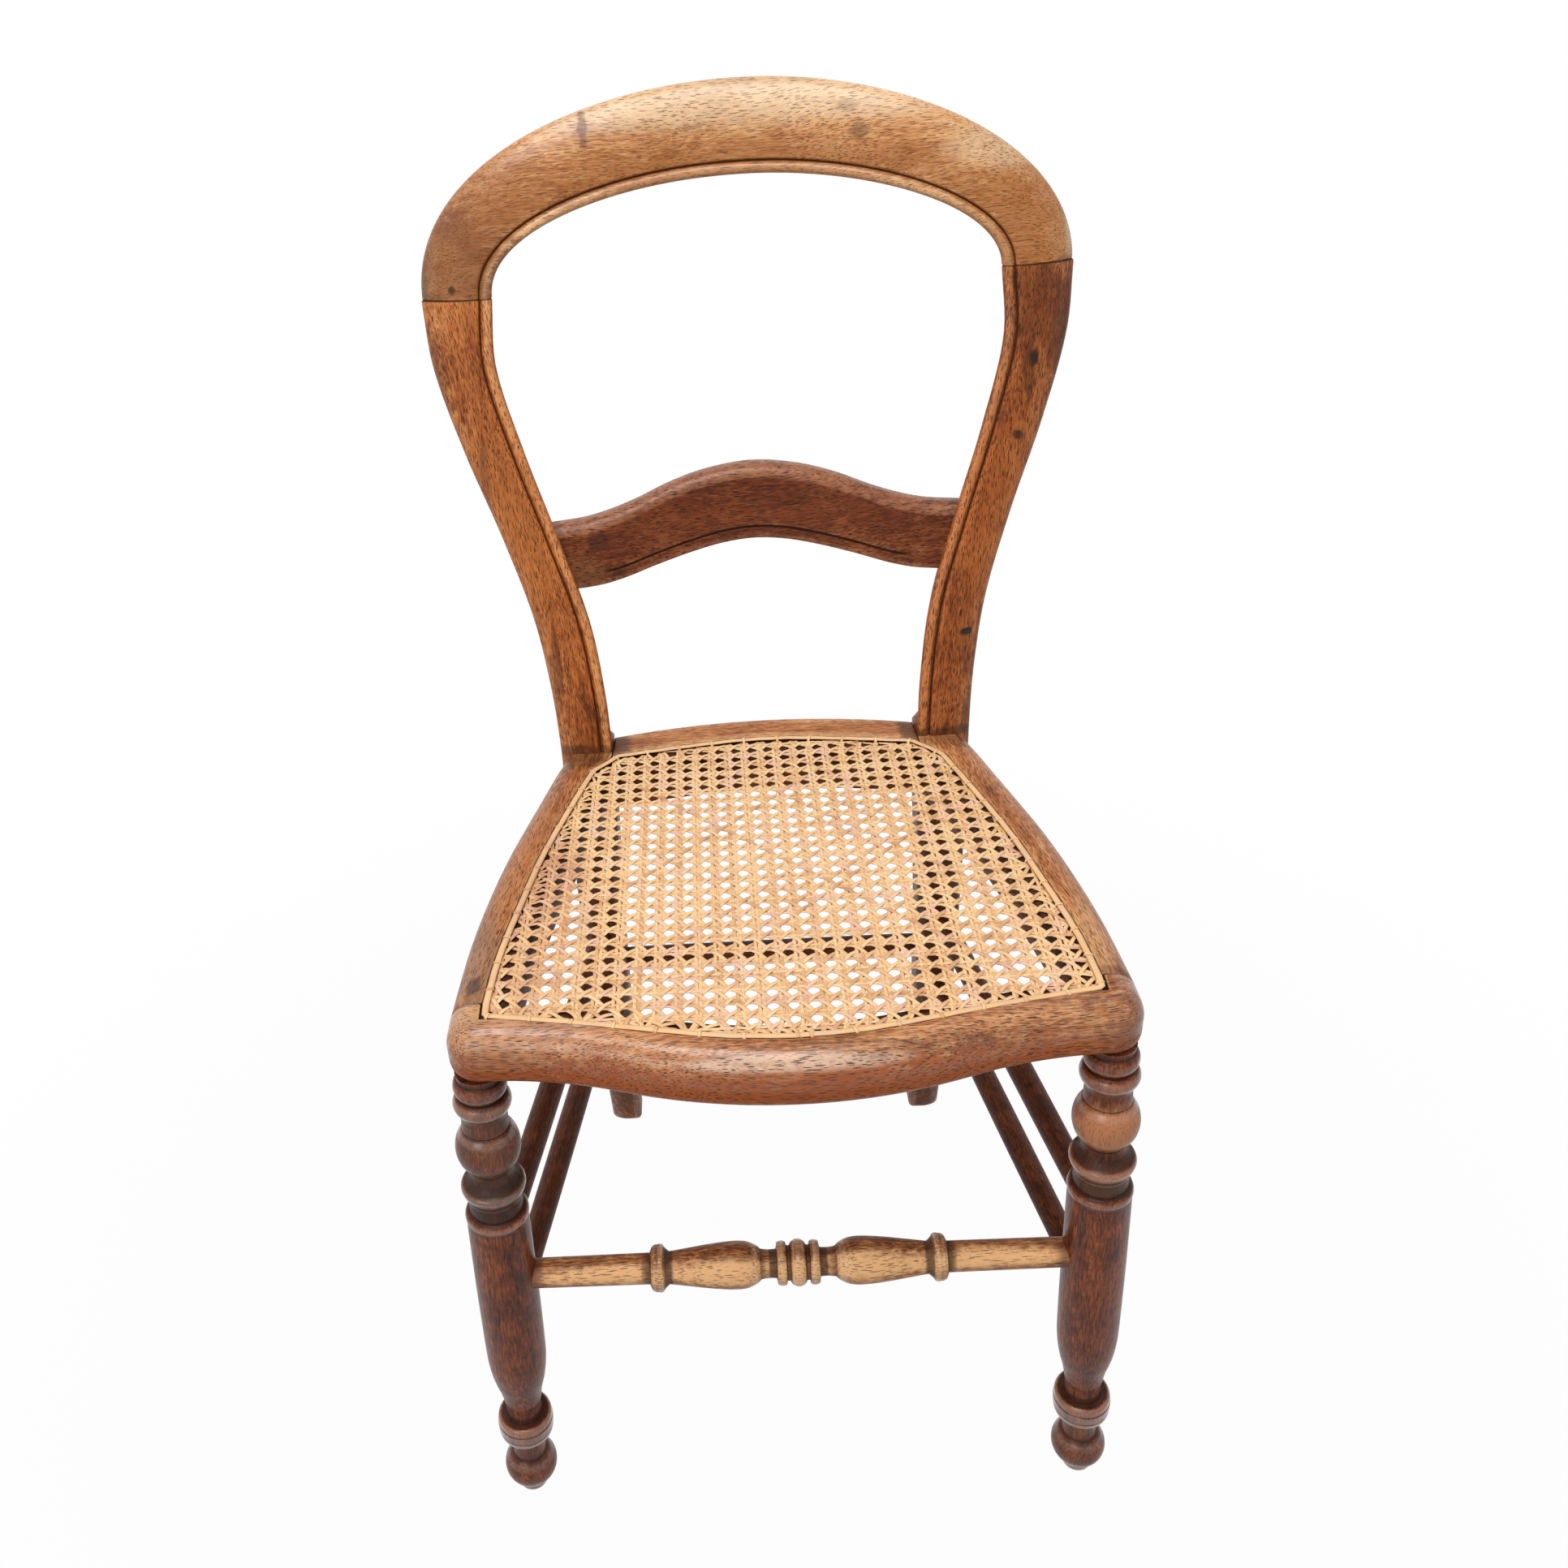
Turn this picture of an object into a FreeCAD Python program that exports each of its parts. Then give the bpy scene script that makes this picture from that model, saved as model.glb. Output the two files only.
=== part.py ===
import FreeCAD, Part
import math
import os

# A balloon-back dining chair of turned and carved wood with a hand-caned seat.
# Lengths are in millimetres. The floor is Z = 0, the front of the chair faces -Y and the
# origin lies on the floor under the middle of the whole chair.

Vector = FreeCAD.Vector
doc = FreeCAD.newDocument("cane_seat_chair")

# Driving sizes
SIZES = {
    # seat frame
    "seat_height": 453.0,
    "rail_thick": 38.0,
    "front_reach": 249.5,
    "corner_reach": 219.1,
    "corner_half": 207.5,
    "corner_round": 20.0,
    "rail_joint_reach": 185.5,
    "waist_half": 188.5,
    "waist_reach": 58.0,
    "back_rail_reach": 150.0,
    "back_rail_end_reach": 134.0,
    "edge_round_top": 16.0,
    "edge_round_under": 9.0,
    # cane
    "border_front_inset": 23.0,
    "border_corner_inset": 35.5,
    "border_side_inset": 24.5,
    "border_end_inset": 25.5,
    "border_post_inset": 5.0,
    "border_post_outset": 14.0,
    "border_back_inset": 34.0,
    "ledge_width": 13.0,
    "ledge_drop": 3.6,
    "rebate_margin": 3.2,
    "cane_margin": 1.6,
    "cane_thick": 2.2,
    "cane_clear": 0.3,
    "binder_width": 5.0,
    "binder_thick": 1.3,
    "net_pitch": 27.0,
    "net_gap": 18.0,
    "peg_radius": 1.9,
    "peg_length": 12.0,
    # rear legs and back posts
    "joint_height": 782.0,
    "foot_centre": 145.5,
    "seat_centre": 139.5,
    "joint_centre": 204.25,
    "foot_width": 28.0,
    "seat_width": 41.0,
    "joint_width": 51.5,
    "foot_deep": 27.0,
    "seat_deep": 37.0,
    "joint_deep": 23.0,
    "foot_front": 154.0,
    "seat_front": 105.5,
    "joint_front": 180.5,
    # crest rail
    "crest_height": 905.0,
    "arch_height": 847.0,
    "rake": 0.24,
    "crest_bow": 18.1,
    "inner_round": 4.0,
    "outer_round": 12.0,
    "back_round": 6.0,
    "foot_round": 6.0,
    "bead_width": 10.0,
    "quirk_width": 2.4,
    "quirk_deep": 1.8,
    # middle rail
    "mid_top": 655.0,
    "mid_under": 603.0,
    "mid_end_top": 623.5,
    "mid_end_under": 577.5,
    "mid_thick": 17.0,
    "mid_recess": 4.0,
    "mid_half": 150.5,
    "mid_bow": 15.0,
    "mid_groove_lift": 8.0,
    "mid_groove_half": 113.0,
    # turned front legs
    "leg_top_half": 191.3,
    "leg_top_reach": 201.5,
    "leg_foot_half": 205.5,
    "leg_foot_reach": 209.0,
    "leg_tenon_radius": 10.0,
    "leg_tenon_length": 28.0,
    "leg_shaft_radius": 20.8,
    # stretchers
    "front_stretcher_height": 230.0,
    "rear_stretcher_height": 229.0,
    "upper_stretcher_height": 266.0,
    "lower_stretcher_height": 190.0,
    "side_stretcher_radius": 9.0,
    "rear_stretcher_radius": 8.4,
    "front_arm_radius": 9.8,
    "front_bored_depth": 14.0,
    "rear_bored_depth": 12.0,
    # joints
    "glue_gap": 0.15,
    "tenon_thick": 12.0,
    "tenon_height": 16.0,
    "tenon_length": 13.0,
    "back_tenon_length": 12.0,
    "tenon_lift": 5.0,
    "front_tenon_thick": 8.0,
    "mid_tenon_thick": 8.0,
    "mid_tenon_height": 26.0,
    "mid_tenon_depth": 15.0,
    "mid_tenon_setback": 0.8,
    "tenon_root": 6.0,
    "dowel_radius": 5.0,
    "dowel_length": 40.0,
}

sheet = doc.addObject("Spreadsheet::Sheet", "sizes")
for row, (name, value) in enumerate(SIZES.items(), start=1):
    sheet.set("A%d" % row, name)
    sheet.set("B%d" % row, str(value))
    sheet.setAlias("B%d" % row, name)
doc.recompute()


def size(name):
    return float(sheet.get(name))


def blend(low, high, share):
    return low + (high - low) * share


# Sketches, bodies and cuts
def plane_of(body, role):
    return [plane for plane in body.Origin.OriginFeatures if plane.Role == role][0]


def sketch_in(body, name, role, geometry, height=None):
    sketch = body.newObject("Sketcher::SketchObject", name)
    sketch.AttachmentSupport = [(plane_of(body, role), "")]
    sketch.MapMode = "FlatFace"
    if height:
        sketch.setExpression("AttachmentOffset.Base.z", height)
    sketch.addGeometry(geometry, False)
    return sketch


def line(start, end):
    return Part.LineSegment(Vector(*start), Vector(*end))


def polyline(points):
    return [line(start, end) for start, end in zip(points, points[1:])]


def spline(points):
    curve = Part.BSplineCurve()
    curve.interpolate([Vector(*point) for point in points])
    return curve


def arc_chain(way, start, direction, points):
    """Arcs that run smoothly on from each other through the points, mirrored if way is -1."""
    here = Vector(*start)
    heading = Vector(*direction).normalize()
    arcs = []
    for point in points:
        there = Vector(*point)
        chord = there - here
        turn = heading.getAngle(chord) * (1 if heading.cross(chord).z > 0 else -1)
        normal = Vector(-heading.y, heading.x, 0) * (1 if turn > 0 else -1)
        radius = chord.Length / (2 * math.sin(abs(turn)))
        centre = here + normal * radius
        middle = centre - normal * (radius * math.cos(turn)) + heading * (radius * math.sin(abs(turn)))
        arcs.append(Part.Arc(*[Vector(way * spot.x, spot.y, 0) for spot in (here, middle, there)]))
        heading = FreeCAD.Rotation(Vector(0, 0, 1), math.degrees(2 * turn)).multVec(heading)
        here = there
    return arcs


def middles(geometry, height):
    """A point half way along each arc or line, at a height."""
    points = []
    for piece in geometry:
        spot = piece.value((piece.FirstParameter + piece.LastParameter) / 2)
        points.append((spot.x, spot.y, height))
    return points


def edges_through(shape, points):
    """Names of the edges that pass through the given points."""
    names = []
    for point in points:
        spot = Part.Vertex(Vector(*point))
        gaps = [edge.distToShape(spot)[0] for edge in shape.Edges]
        names.append("Edge%d" % (gaps.index(min(gaps)) + 1))
    return names


def bevel(body, base, points, expression):
    """Flattens the edges that pass through the points."""
    feature = body.newObject("PartDesign::Chamfer", "%s_bevel_%d" % (body.Name, len(body.Group)))
    feature.Base = (base, edges_through(base.Shape, points))
    feature.setExpression("Size", expression)
    doc.recompute()
    return feature


def cut(name, base, tools):
    for count, tool in enumerate(tools):
        feature = doc.addObject("Part::Cut", "%s_cut_%d" % (name, count))
        feature.Base = base
        feature.Tool = tool
        base = feature
    return base


def fuse(name, base, tools):
    feature = doc.addObject("Part::MultiFuse", name + "_fused")
    feature.Shapes = [base] + tools
    feature.Refine = False
    return feature


def shape_object(name, shape):
    feature = doc.addObject("Part::Feature", name)
    feature.Shape = shape
    return feature


def block(name, low, high):
    box = doc.addObject("Part::Box", name)
    box.Length, box.Width, box.Height = [b - a for a, b in zip(low, high)]
    box.Placement.Base = Vector(*low)
    return box


def bar(name, start, end, radius):
    """A round bar from one point to another. Its radius is an expression of the sizes."""
    cylinder = doc.addObject("Part::Cylinder", name)
    along = end - start
    cylinder.setExpression("Radius", radius)
    cylinder.Height = along.Length
    cylinder.Placement = FreeCAD.Placement(start, FreeCAD.Rotation(Vector(0, 0, 1), along))
    return cylinder


def turning(name, steps, start, end):
    """A turned piece on the line from start to end. A step is a distance along and a radius."""
    body = doc.addObject("PartDesign::Body", name)
    steps = [(steps[0][0], 0.0)] + steps + [(steps[-1][0], 0.0)]
    profile = [(radius, along, 0.0) for along, radius in steps]
    sketch = sketch_in(body, name + "_profile", "XZ_Plane", polyline(profile + profile[:1]))
    turned = body.newObject("PartDesign::Revolution", name + "_turned")
    turned.Profile = sketch
    turned.ReferenceAxis = (sketch, ["V_Axis"])
    turned.Angle = 360
    along = end - start
    body.Placement = FreeCAD.Placement(start, FreeCAD.Rotation(Vector(0, 0, 1), along))
    return body


# Levels and reaches that several pieces share
seat_top = size("seat_height")
seat_under = seat_top - size("rail_thick")
ledge_top = seat_top - size("ledge_drop")
joint_y = -size("rail_joint_reach")
gap = size("glue_gap")
post_inner = size("seat_centre") - size("seat_width") / 2
post_outer = size("seat_centre") + size("seat_width") / 2
cope = 3.0
SIDES = (("left", -1), ("right", 1))


# The line of the cane's border, as three half runs: front, side and back.
# A positive growth moves the line outwards, on to the rails.
def front_border(grow=0.0):
    reach = size("front_reach") - size("border_front_inset")
    half = size("corner_half") - size("border_corner_inset")
    drop = reach - (size("rail_joint_reach") + size("ledge_width"))
    shares = ((0.0, 0.0), (0.23, 0.1), (0.46, 0.36), (0.71, 0.68), (1.0, 1.0))
    return [(half * x, -(reach - drop * y) - grow) for x, y in shares]


def side_border(grow=0.0):
    start = size("corner_half") - size("border_side_inset")
    finish = post_inner + size("border_post_outset")
    shares = ((0.0, 0.0), (0.166, 0.06), (0.365, 0.22), (0.58, 0.42), (0.806, 0.72), (1.0, 1.0))
    length = size("seat_front") - size("border_end_inset") - joint_y
    return [(blend(start, finish, x) + grow, joint_y + length * y) for y, x in shares]


def back_border(grow=0.0):
    reach = size("back_rail_reach") - size("border_back_inset")
    shares = ((1.0, 15.0), (0.6, 7.0), (0.2, 0.8), (0.0, 0.0))
    return [((post_inner - size("border_post_inset")) * x, reach - drop + grow) for x, drop in shares]


def mirrored(points):
    """The same run on the other side, in the opposite order."""
    return [(-x, y) for x, y in reversed(points)]


def run_of(points):
    """A plan run: a line through two points, or a spline through more."""
    spots = [(x, y, 0) for x, y in points]
    return line(*spots) if len(spots) == 2 else spline(spots)


def border_loop(grow):
    """The closed border, grown outwards: front, right side, back, left side."""
    front = front_border(grow)
    side = side_border(grow)
    back = back_border(grow)
    corner = (side[0][0] - 0.5, front[-1][1] + 1.5)
    right = [front[-1], corner, side[0]]
    left = mirrored(right)
    runs = [mirrored(front)[:-1] + front, right[:2], right[1:], side, [side[-1], back[0]]]
    runs += [back[:-1] + mirrored(back), [mirrored(back)[-1], mirrored(side)[0]], mirrored(side)]
    runs += [left[:2], left[1:]]
    return [run_of(run) for run in runs]


def rail_body(name, geometry):
    body = doc.addObject("PartDesign::Body", name)
    sketch = sketch_in(body, name + "_plan", "XY_Plane", geometry, "sizes.seat_height - sizes.rail_thick")
    board = body.newObject("PartDesign::Pad", name + "_board")
    board.Profile = sketch
    board.setExpression("Length", "sizes.rail_thick")
    doc.recompute()
    return body, board


# A round of radius r is three flats: the first takes 0.586 r off the corner, and the two
# at its edges 0.215 r.
FIRST_FLAT = 2 - math.sqrt(2)
SECOND_FLAT = math.tan(math.radians(22.5)) - math.tan(math.radians(11.25))


def round_rail(body, base, edge):
    """Rounds the outer edge of a rail above and eases it underneath."""
    low = seat_top - size("edge_round_top") * FIRST_FLAT
    feature = bevel(body, base, middles(edge, seat_top), "sizes.edge_round_top * %.4f" % FIRST_FLAT)
    both_edges = middles(edge, low) + middles(edge, seat_top + 1.0)
    feature = bevel(body, feature, both_edges, "sizes.edge_round_top * %.4f" % SECOND_FLAT)
    return bevel(body, feature, middles(edge, seat_under), "sizes.edge_round_under * %.4f" % FIRST_FLAT)


# The front seat rail runs the whole width. Its front edge is an ogee either side of the
# middle, and its corners are round.
corner_half = size("corner_half")
corner_reach = size("corner_reach")
corner_round = size("corner_round")
ledge = size("ledge_width")
front_inner = front_border(-ledge)
side_inner = side_border(-ledge)
back_inner = back_border(-ledge)

OGEE_TURN = (0.55, 0.45)
ogee_end = (corner_half - corner_round, -corner_reach, 0)
ogee_reach = blend(corner_reach, size("front_reach"), OGEE_TURN[1])
ogee_middle = (ogee_end[0] * OGEE_TURN[0], -ogee_reach, 0)
corner_end = (corner_half, -corner_reach + corner_round, 0)
front_middle = (0, -size("front_reach"), 0)
front_edge = []
for side, way in SIDES:
    front_edge += arc_chain(way, front_middle, (1, 0, 0), [ogee_middle, ogee_end, corner_end])
    front_edge.append(line((way * corner_end[0], corner_end[1], 0), (way * corner_half, joint_y, 0)))
joint_ends = [(-corner_half, joint_y), (-side_inner[0][0], joint_y), mirrored(front_inner)[0]]
front_plan = front_edge + [run_of(joint_ends[:2]), run_of(joint_ends[1:]),
                           run_of(mirrored(front_inner)[:-1] + front_inner),
                           run_of(mirrored(joint_ends)[:2]), run_of(mirrored(joint_ends)[1:])]
front_rail, front_board = rail_body("front_rail_board", front_plan)
round_rail(front_rail, front_board, front_edge)

# The side rails butt against the back of the front rail. They narrow from a waist and are
# coped to the back posts.
waist = (size("waist_half"), -size("waist_reach"))
rail_start = (corner_half, joint_y + gap)
slope = ((waist[0] - rail_start[0]), (waist[1] - rail_start[1]), 0)
rail_end = size("seat_front") + cope
SIDE_TURN = (0.52, 0.39)
turn_half = blend(waist[0], post_outer, SIDE_TURN[0])
turn_reach = blend(waist[1], size("seat_front"), SIDE_TURN[1])
side_turn = (turn_half, turn_reach, 0)
side_finish = (post_outer, size("seat_front"), 0)
side_rails = {}
for side, way in SIDES:
    side_edge = [line((way * rail_start[0], rail_start[1], 0), (way * waist[0], waist[1], 0))]
    side_edge += arc_chain(way, waist + (0,), slope, [side_turn, side_finish])
    rest = [(post_outer, size("seat_front")), (post_outer, rail_end), (post_inner + gap, rail_end),
            side_inner[-1]]
    start = (side_inner[0][0], joint_y + gap)
    runs = [rest[0:2], rest[1:3], rest[2:4], list(reversed(side_inner[1:])) + [start], [start, rail_start]]
    plan = side_edge + [run_of([(way * x, y) for x, y in run]) for run in runs]
    body, board = rail_body(side + "_rail_board", plan)
    round_rail(body, board, side_edge)
    side_rails[side] = body

# The back seat rail bows backwards between the two posts
end_x = post_inner - gap
end_reach = size("back_rail_end_reach")
inner_reach = back_inner[0][1] - 3.0
back_edge = []
for side, way in SIDES:
    back_edge += arc_chain(way, (0, size("back_rail_reach"), 0), (1, 0, 0), [(end_x, end_reach, 0)])
whole_back_inner = back_inner[:-1] + mirrored(back_inner)
back_ends = [(end_x, end_reach), (end_x, inner_reach), back_inner[0]]
back_plan = back_edge + [run_of(back_ends[:2]), run_of(back_ends[1:]), run_of(whole_back_inner),
                         run_of(mirrored(back_ends)[:2]), run_of(mirrored(back_ends)[1:])]
back_rail, back_board = rail_body("back_rail_board", back_plan)
round_rail(back_rail, back_board, back_edge)


# Rear legs and posts. Each is one piece of wood from the floor to the crest, and its form
# is a loft through rounded sections. A row holds the share of the height, then how far
# the centre, the width, the depth and the front face have gone from one named size to the
# next.
LEG_ROWS = (
    (0.0, 0.0, 0.0, 0.0, 0.0),
    (0.13, 0.03, 0.12, 0.16, 0.22),
    (0.29, 0.08, 0.31, 0.35, 0.495),
    (0.44, 0.22, 0.46, 0.55, 0.714),
    (0.64, 0.48, 0.65, 0.77, 0.91),
    (0.84, 0.82, 0.88, 0.94, 0.995),
    (0.92, 0.93, 1.0, 1.0, 1.0),
    (1.0, 1.0, 1.0, 1.0, 1.0),
)
POST_ROWS = (
    (0.14, 0.038, 0.1, 0.18, 0.107),
    (0.31, 0.16, 0.2, 0.39, 0.276),
    (0.495, 0.436, 0.19, 0.57, 0.468),
    (0.687, 0.756, 0.38, 0.75, 0.667),
    (0.863, 0.99, 0.52, 0.89, 0.856),
    (1.0, 1.0, 1.0, 1.0, 1.0),
)


def post_rows():
    """Height, inner half, outer half, front face and depth at each row."""
    spans = (
        (LEG_ROWS, 0.0, seat_top, "foot", "seat"),
        (POST_ROWS, seat_top, size("joint_height"), "seat", "joint"),
    )
    rows = []
    for shares, low, high, below, above in spans:
        for share, centre, width, deep, front in shares:
            middle = blend(size(below + "_centre"), size(above + "_centre"), centre)
            half = blend(size(below + "_width"), size(above + "_width"), width) / 2
            reach = blend(size(below + "_front"), size(above + "_front"), front)
            depth = blend(size(below + "_deep"), size(above + "_deep"), deep)
            rows.append((blend(low, high, share), middle - half, middle + half, reach, depth))
    return rows


def smooth_track(places, values):
    """A value that changes smoothly from place to place."""
    track = Part.BSplineCurve()
    points = [Vector(value, place, 0) for place, value in zip(places, values)]
    track.interpolate(Points=points, Parameters=places)
    return track


post_heights, *post_values = zip(*post_rows())
post_tracks = [smooth_track(post_heights, values) for values in post_values]


def post_at(height):
    """Inner half, outer half, front face and depth of a post at a height."""
    return [track.value(height).x for track in post_tracks]


def member_section(inner, outer, deep, quirk):
    """A section across a post or the crest: rounded edges and a quirk that sets off the bead."""
    inner = Vector(*inner)
    across = Vector(*outer) - inner
    wide = across.Length
    across.normalize()
    bead_end = size("bead_width")
    quirk_end = bead_end + size("quirk_width")
    soft = size("inner_round") * FIRST_FLAT
    eased = min(size("outer_round"), 0.9 * (wide - quirk_end))
    part_eased = eased * (1 - math.sqrt(0.5))
    back = size("back_round") * FIRST_FLAT
    corners = (
        (0, soft), (soft, 0), (bead_end, 0), (blend(bead_end, quirk_end, 0.4), quirk), (quirk_end, 0),
        (wide - eased, 0), (wide - part_eased, part_eased), (wide, eased),
        (wide, deep - back), (wide - back, deep), (soft, deep), (0, deep - soft),
    )
    points = [inner + across * along + Vector(0, inwards, 0) for along, inwards in corners]
    return Part.makePolygon(points + points[:1])


def loft(name, wires):
    sections = [shape_object("%s_section_%d" % (name, count), wire) for count, wire in enumerate(wires)]
    feature = doc.addObject("Part::Loft", name)
    feature.Sections = sections
    feature.Solid = True
    feature.Ruled = True
    return feature


LEG_STATIONS = 6
POST_STATIONS = 9
foot_round = size("foot_round")
joint_height = size("joint_height")
station_heights = [0.0]
station_heights += [blend(foot_round, seat_top, step / LEG_STATIONS) for step in range(LEG_STATIONS)]
station_heights += [blend(seat_top, joint_height, step / POST_STATIONS) for step in range(POST_STATIONS + 1)]
post_blanks = {}
for side, way in SIDES:
    wires = []
    for height in station_heights:
        inner, outer, front, deep = post_at(height)
        eased = foot_round / 2 if height == 0.0 else 0.0
        quirk = size("quirk_deep") if height > seat_top - 1e-6 else 0.0
        inner_edge = (way * (inner + eased), front + eased, height)
        outer_edge = (way * (outer - eased), front + eased, height)
        wires.append(member_section(inner_edge, outer_edge, deep - 2 * eased, quirk))
    post_blanks[side] = loft(side + "_post_blank", wires)


# The crest rail is a half ellipse outside and inside, bowed backwards in plan
def bow(x, half, deep):
    """A plan curve that is level at both ends and deepest in the middle."""
    if abs(x) >= half:
        return 0.0
    return deep * math.cos(math.pi * x / (2 * half)) ** 2


joint_inner = size("joint_centre") - size("joint_width") / 2
joint_outer = size("joint_centre") + size("joint_width") / 2
CREST_STATIONS = 18


def arch_point(half, rise, angle):
    x = half * math.cos(angle)
    up = rise * math.sin(angle)
    y = size("joint_front") + size("rake") * up + bow(x, joint_inner, size("crest_bow"))
    return x, y, joint_height + up


crest_wires = []
for step in range(CREST_STATIONS + 1):
    angle = math.pi * step / CREST_STATIONS
    below = arch_point(joint_inner, size("arch_height") - joint_height, angle)
    above = arch_point(joint_outer, size("crest_height") - joint_height, angle)
    crest_wires.append(member_section(below, above, size("joint_deep"), size("quirk_deep")))
crest_blank = loft("crest_blank", crest_wires)

# A dowel at each end of the crest rail follows the rake of the post
dowels = {}
dowel_bores = {}
lean = Vector(0, size("rake"), 1).normalize() * (size("dowel_length") / 2)
for side, way in SIDES:
    middle_y = size("joint_front") + size("joint_deep") / 2
    middle = Vector(way * size("joint_centre"), middle_y, joint_height)
    dowels[side] = bar(side + "_dowel", middle - lean, middle + lean, "sizes.dowel_radius")
    longer = lean * 1.03
    dowel_bores[side] = bar(side + "_dowel_bore", middle - longer, middle + longer,
                            "sizes.dowel_radius + sizes.glue_gap")


# Turned front legs. Each step is a height and a radius. The foot, the ball above it and the
# ring are measured from the floor, and the turning above the shaft from the seat frame.
def leg_steps():
    top = seat_under
    shaft = size("leg_shaft_radius")
    foot = [(-1.0, 11.2), (9.0, 11.2), (16.0, 18.6), (31.0, 18.6), (40.0, 12.3), (62.0, 12.3)]
    ring = [(62.0, 16.8), (63.8, 19.8), (82.2, 19.8), (84.0, 16.8), (84.0, 13.2), (102.0, 13.2)]
    long_shaft = [(140.0, shaft), (top - 118.0, shaft), (top - 118.0, 17.6), (top - 106.0, 17.6)]
    flange = [(top - 106.0, 19.6), (top - 95.0, 19.6), (top - 82.0, 13.0)]
    ball = [(top - 71.0, 19.9), (top - 58.0, 19.9), (top - 46.0, 14.8), (top - 35.0, 14.8)]
    beads = [(top - 33.4, 17.9), (top - 22.0, 17.9), (top - 20.4, 14.8), (top - 18.6, 16.5)]
    neck = [(top - 7.0, 16.5), (top - 7.0, 14.5), (top + 1.0, 14.5)]
    return foot + ring + long_shaft + flange + ball + beads + neck


def leg_axis(way, height):
    share = height / seat_under
    half = blend(size("leg_foot_half"), size("leg_top_half"), share)
    reach = blend(size("leg_foot_reach"), size("leg_top_reach"), share)
    return Vector(way * half, -reach, height)


def rear_leg_axis(way, height):
    inner, outer, front, deep = post_at(height)
    return Vector(way * (inner + outer) / 2, front + deep / 2, height)


# The legs lean a little, so their feet are levelled and their shoulders cut to the rail
past_legs = size("leg_foot_half") + 2 * size("leg_shaft_radius")
CUT_DEPTH = 10.0
below_floor = block("below_floor", (-past_legs, -past_legs, -CUT_DEPTH), (past_legs, past_legs, 0.0))
rail_level = block("rail_level", (-past_legs, -past_legs, seat_under),
                   (past_legs, past_legs, seat_under + CUT_DEPTH))
leg_blanks = {}
leg_bores = []
for side, way in SIDES:
    turned = turning(side + "_leg_turning", leg_steps(), leg_axis(way, 0.0), leg_axis(way, seat_under))
    level = cut(side + "_leg_level", turned, [below_floor, rail_level])
    foot_of_tenon = leg_axis(way, seat_under - 5.0)
    tip = leg_axis(way, seat_under + size("leg_tenon_length"))
    tenon = bar(side + "_leg_tenon", foot_of_tenon, tip, "sizes.leg_tenon_radius")
    leg_blanks[side] = fuse(side + "_leg", level, [tenon])
    past_tip = leg_axis(way, seat_under + size("leg_tenon_length") + 0.5)
    leg_bores.append(bar(side + "_leg_hole", foot_of_tenon, past_tip,
                         "sizes.leg_tenon_radius + sizes.glue_gap"))


# Stretchers: each runs from a bored hole in one leg to a bored hole in the next
def front_stretcher_steps(length):
    """Plain arms, a ring, a vase either side of the middle, and three beads."""
    half = length / 2
    arm = size("front_arm_radius")
    outer = [(0.0, arm), (half - 98.0, arm), (half - 94.0, 15.2), (half - 89.0, 15.2), (half - 85.0, 10.6)]
    outer += [(half - 52.0, 15.2), (half - 40.0, 15.2), (half - 26.0, 9.6), (half - 14.5, 9.6)]
    outer += [(half - 14.5, 14.0), (half - 10.0, 14.0), (half - 10.0, 11.2), (half - 6.5, 11.2)]
    outer += [(half - 6.5, 15.0)]
    return outer + [(length - along, radius) for along, radius in reversed(outer)]


stretchers = {}
bores = {"left_front": [], "right_front": [], "left_rear": [], "right_rear": []}
BORE_LENGTH = 26.0
BORE_CLEAR = 0.4


def add_stretcher(name, start, end, legs, inset, radius):
    """Fits a stretcher between two points on the legs' axes, each end a little past the axis
    or short of it, and bores the legs for it. A bore runs on out of its leg."""
    along = (end - start).normalize()
    start = start + along * inset[0]
    end = end - along * inset[1]
    if name == "front_stretcher":
        steps = front_stretcher_steps((end - start).Length)
        stretchers[name] = turning(name + "_turning", steps, start, end)
    else:
        stretchers[name] = bar(name + "_bar", start, end, "sizes." + radius)
    hole = "sizes.%s + sizes.glue_gap" % radius
    deeper = along * BORE_CLEAR
    out_of_leg = along * BORE_LENGTH
    bores[legs[0]].append(bar(name + "_start_bore", start - deeper, start + out_of_leg, hole))
    bores[legs[1]].append(bar(name + "_end_bore", end - out_of_leg, end + deeper, hole))


# A leg's surface lies about a leg's radius from its axis, so the inset follows the bored depth
front_inset = size("leg_shaft_radius") - size("front_bored_depth")
rear_inset = size("foot_deep") / 2 + 1.0 - size("rear_bored_depth")
height = size("front_stretcher_height")
add_stretcher("front_stretcher", leg_axis(-1, height), leg_axis(1, height), ("left_front", "right_front"),
              (front_inset, front_inset), "front_arm_radius")
height = size("rear_stretcher_height")
add_stretcher("rear_stretcher", rear_leg_axis(-1, height), rear_leg_axis(1, height),
              ("left_rear", "right_rear"), (rear_inset, rear_inset), "rear_stretcher_radius")
SIDE_RISE = 2.0
for side, way in SIDES:
    for level in ("upper", "lower"):
        height = size(level + "_stretcher_height")
        front_end = leg_axis(way, height - SIDE_RISE)
        rear_end = rear_leg_axis(way, height + SIDE_RISE)
        add_stretcher("%s_%s_stretcher" % (side, level), front_end, rear_end,
                      (side + "_front", side + "_rear"), (front_inset, rear_inset), "side_stretcher_radius")

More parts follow.
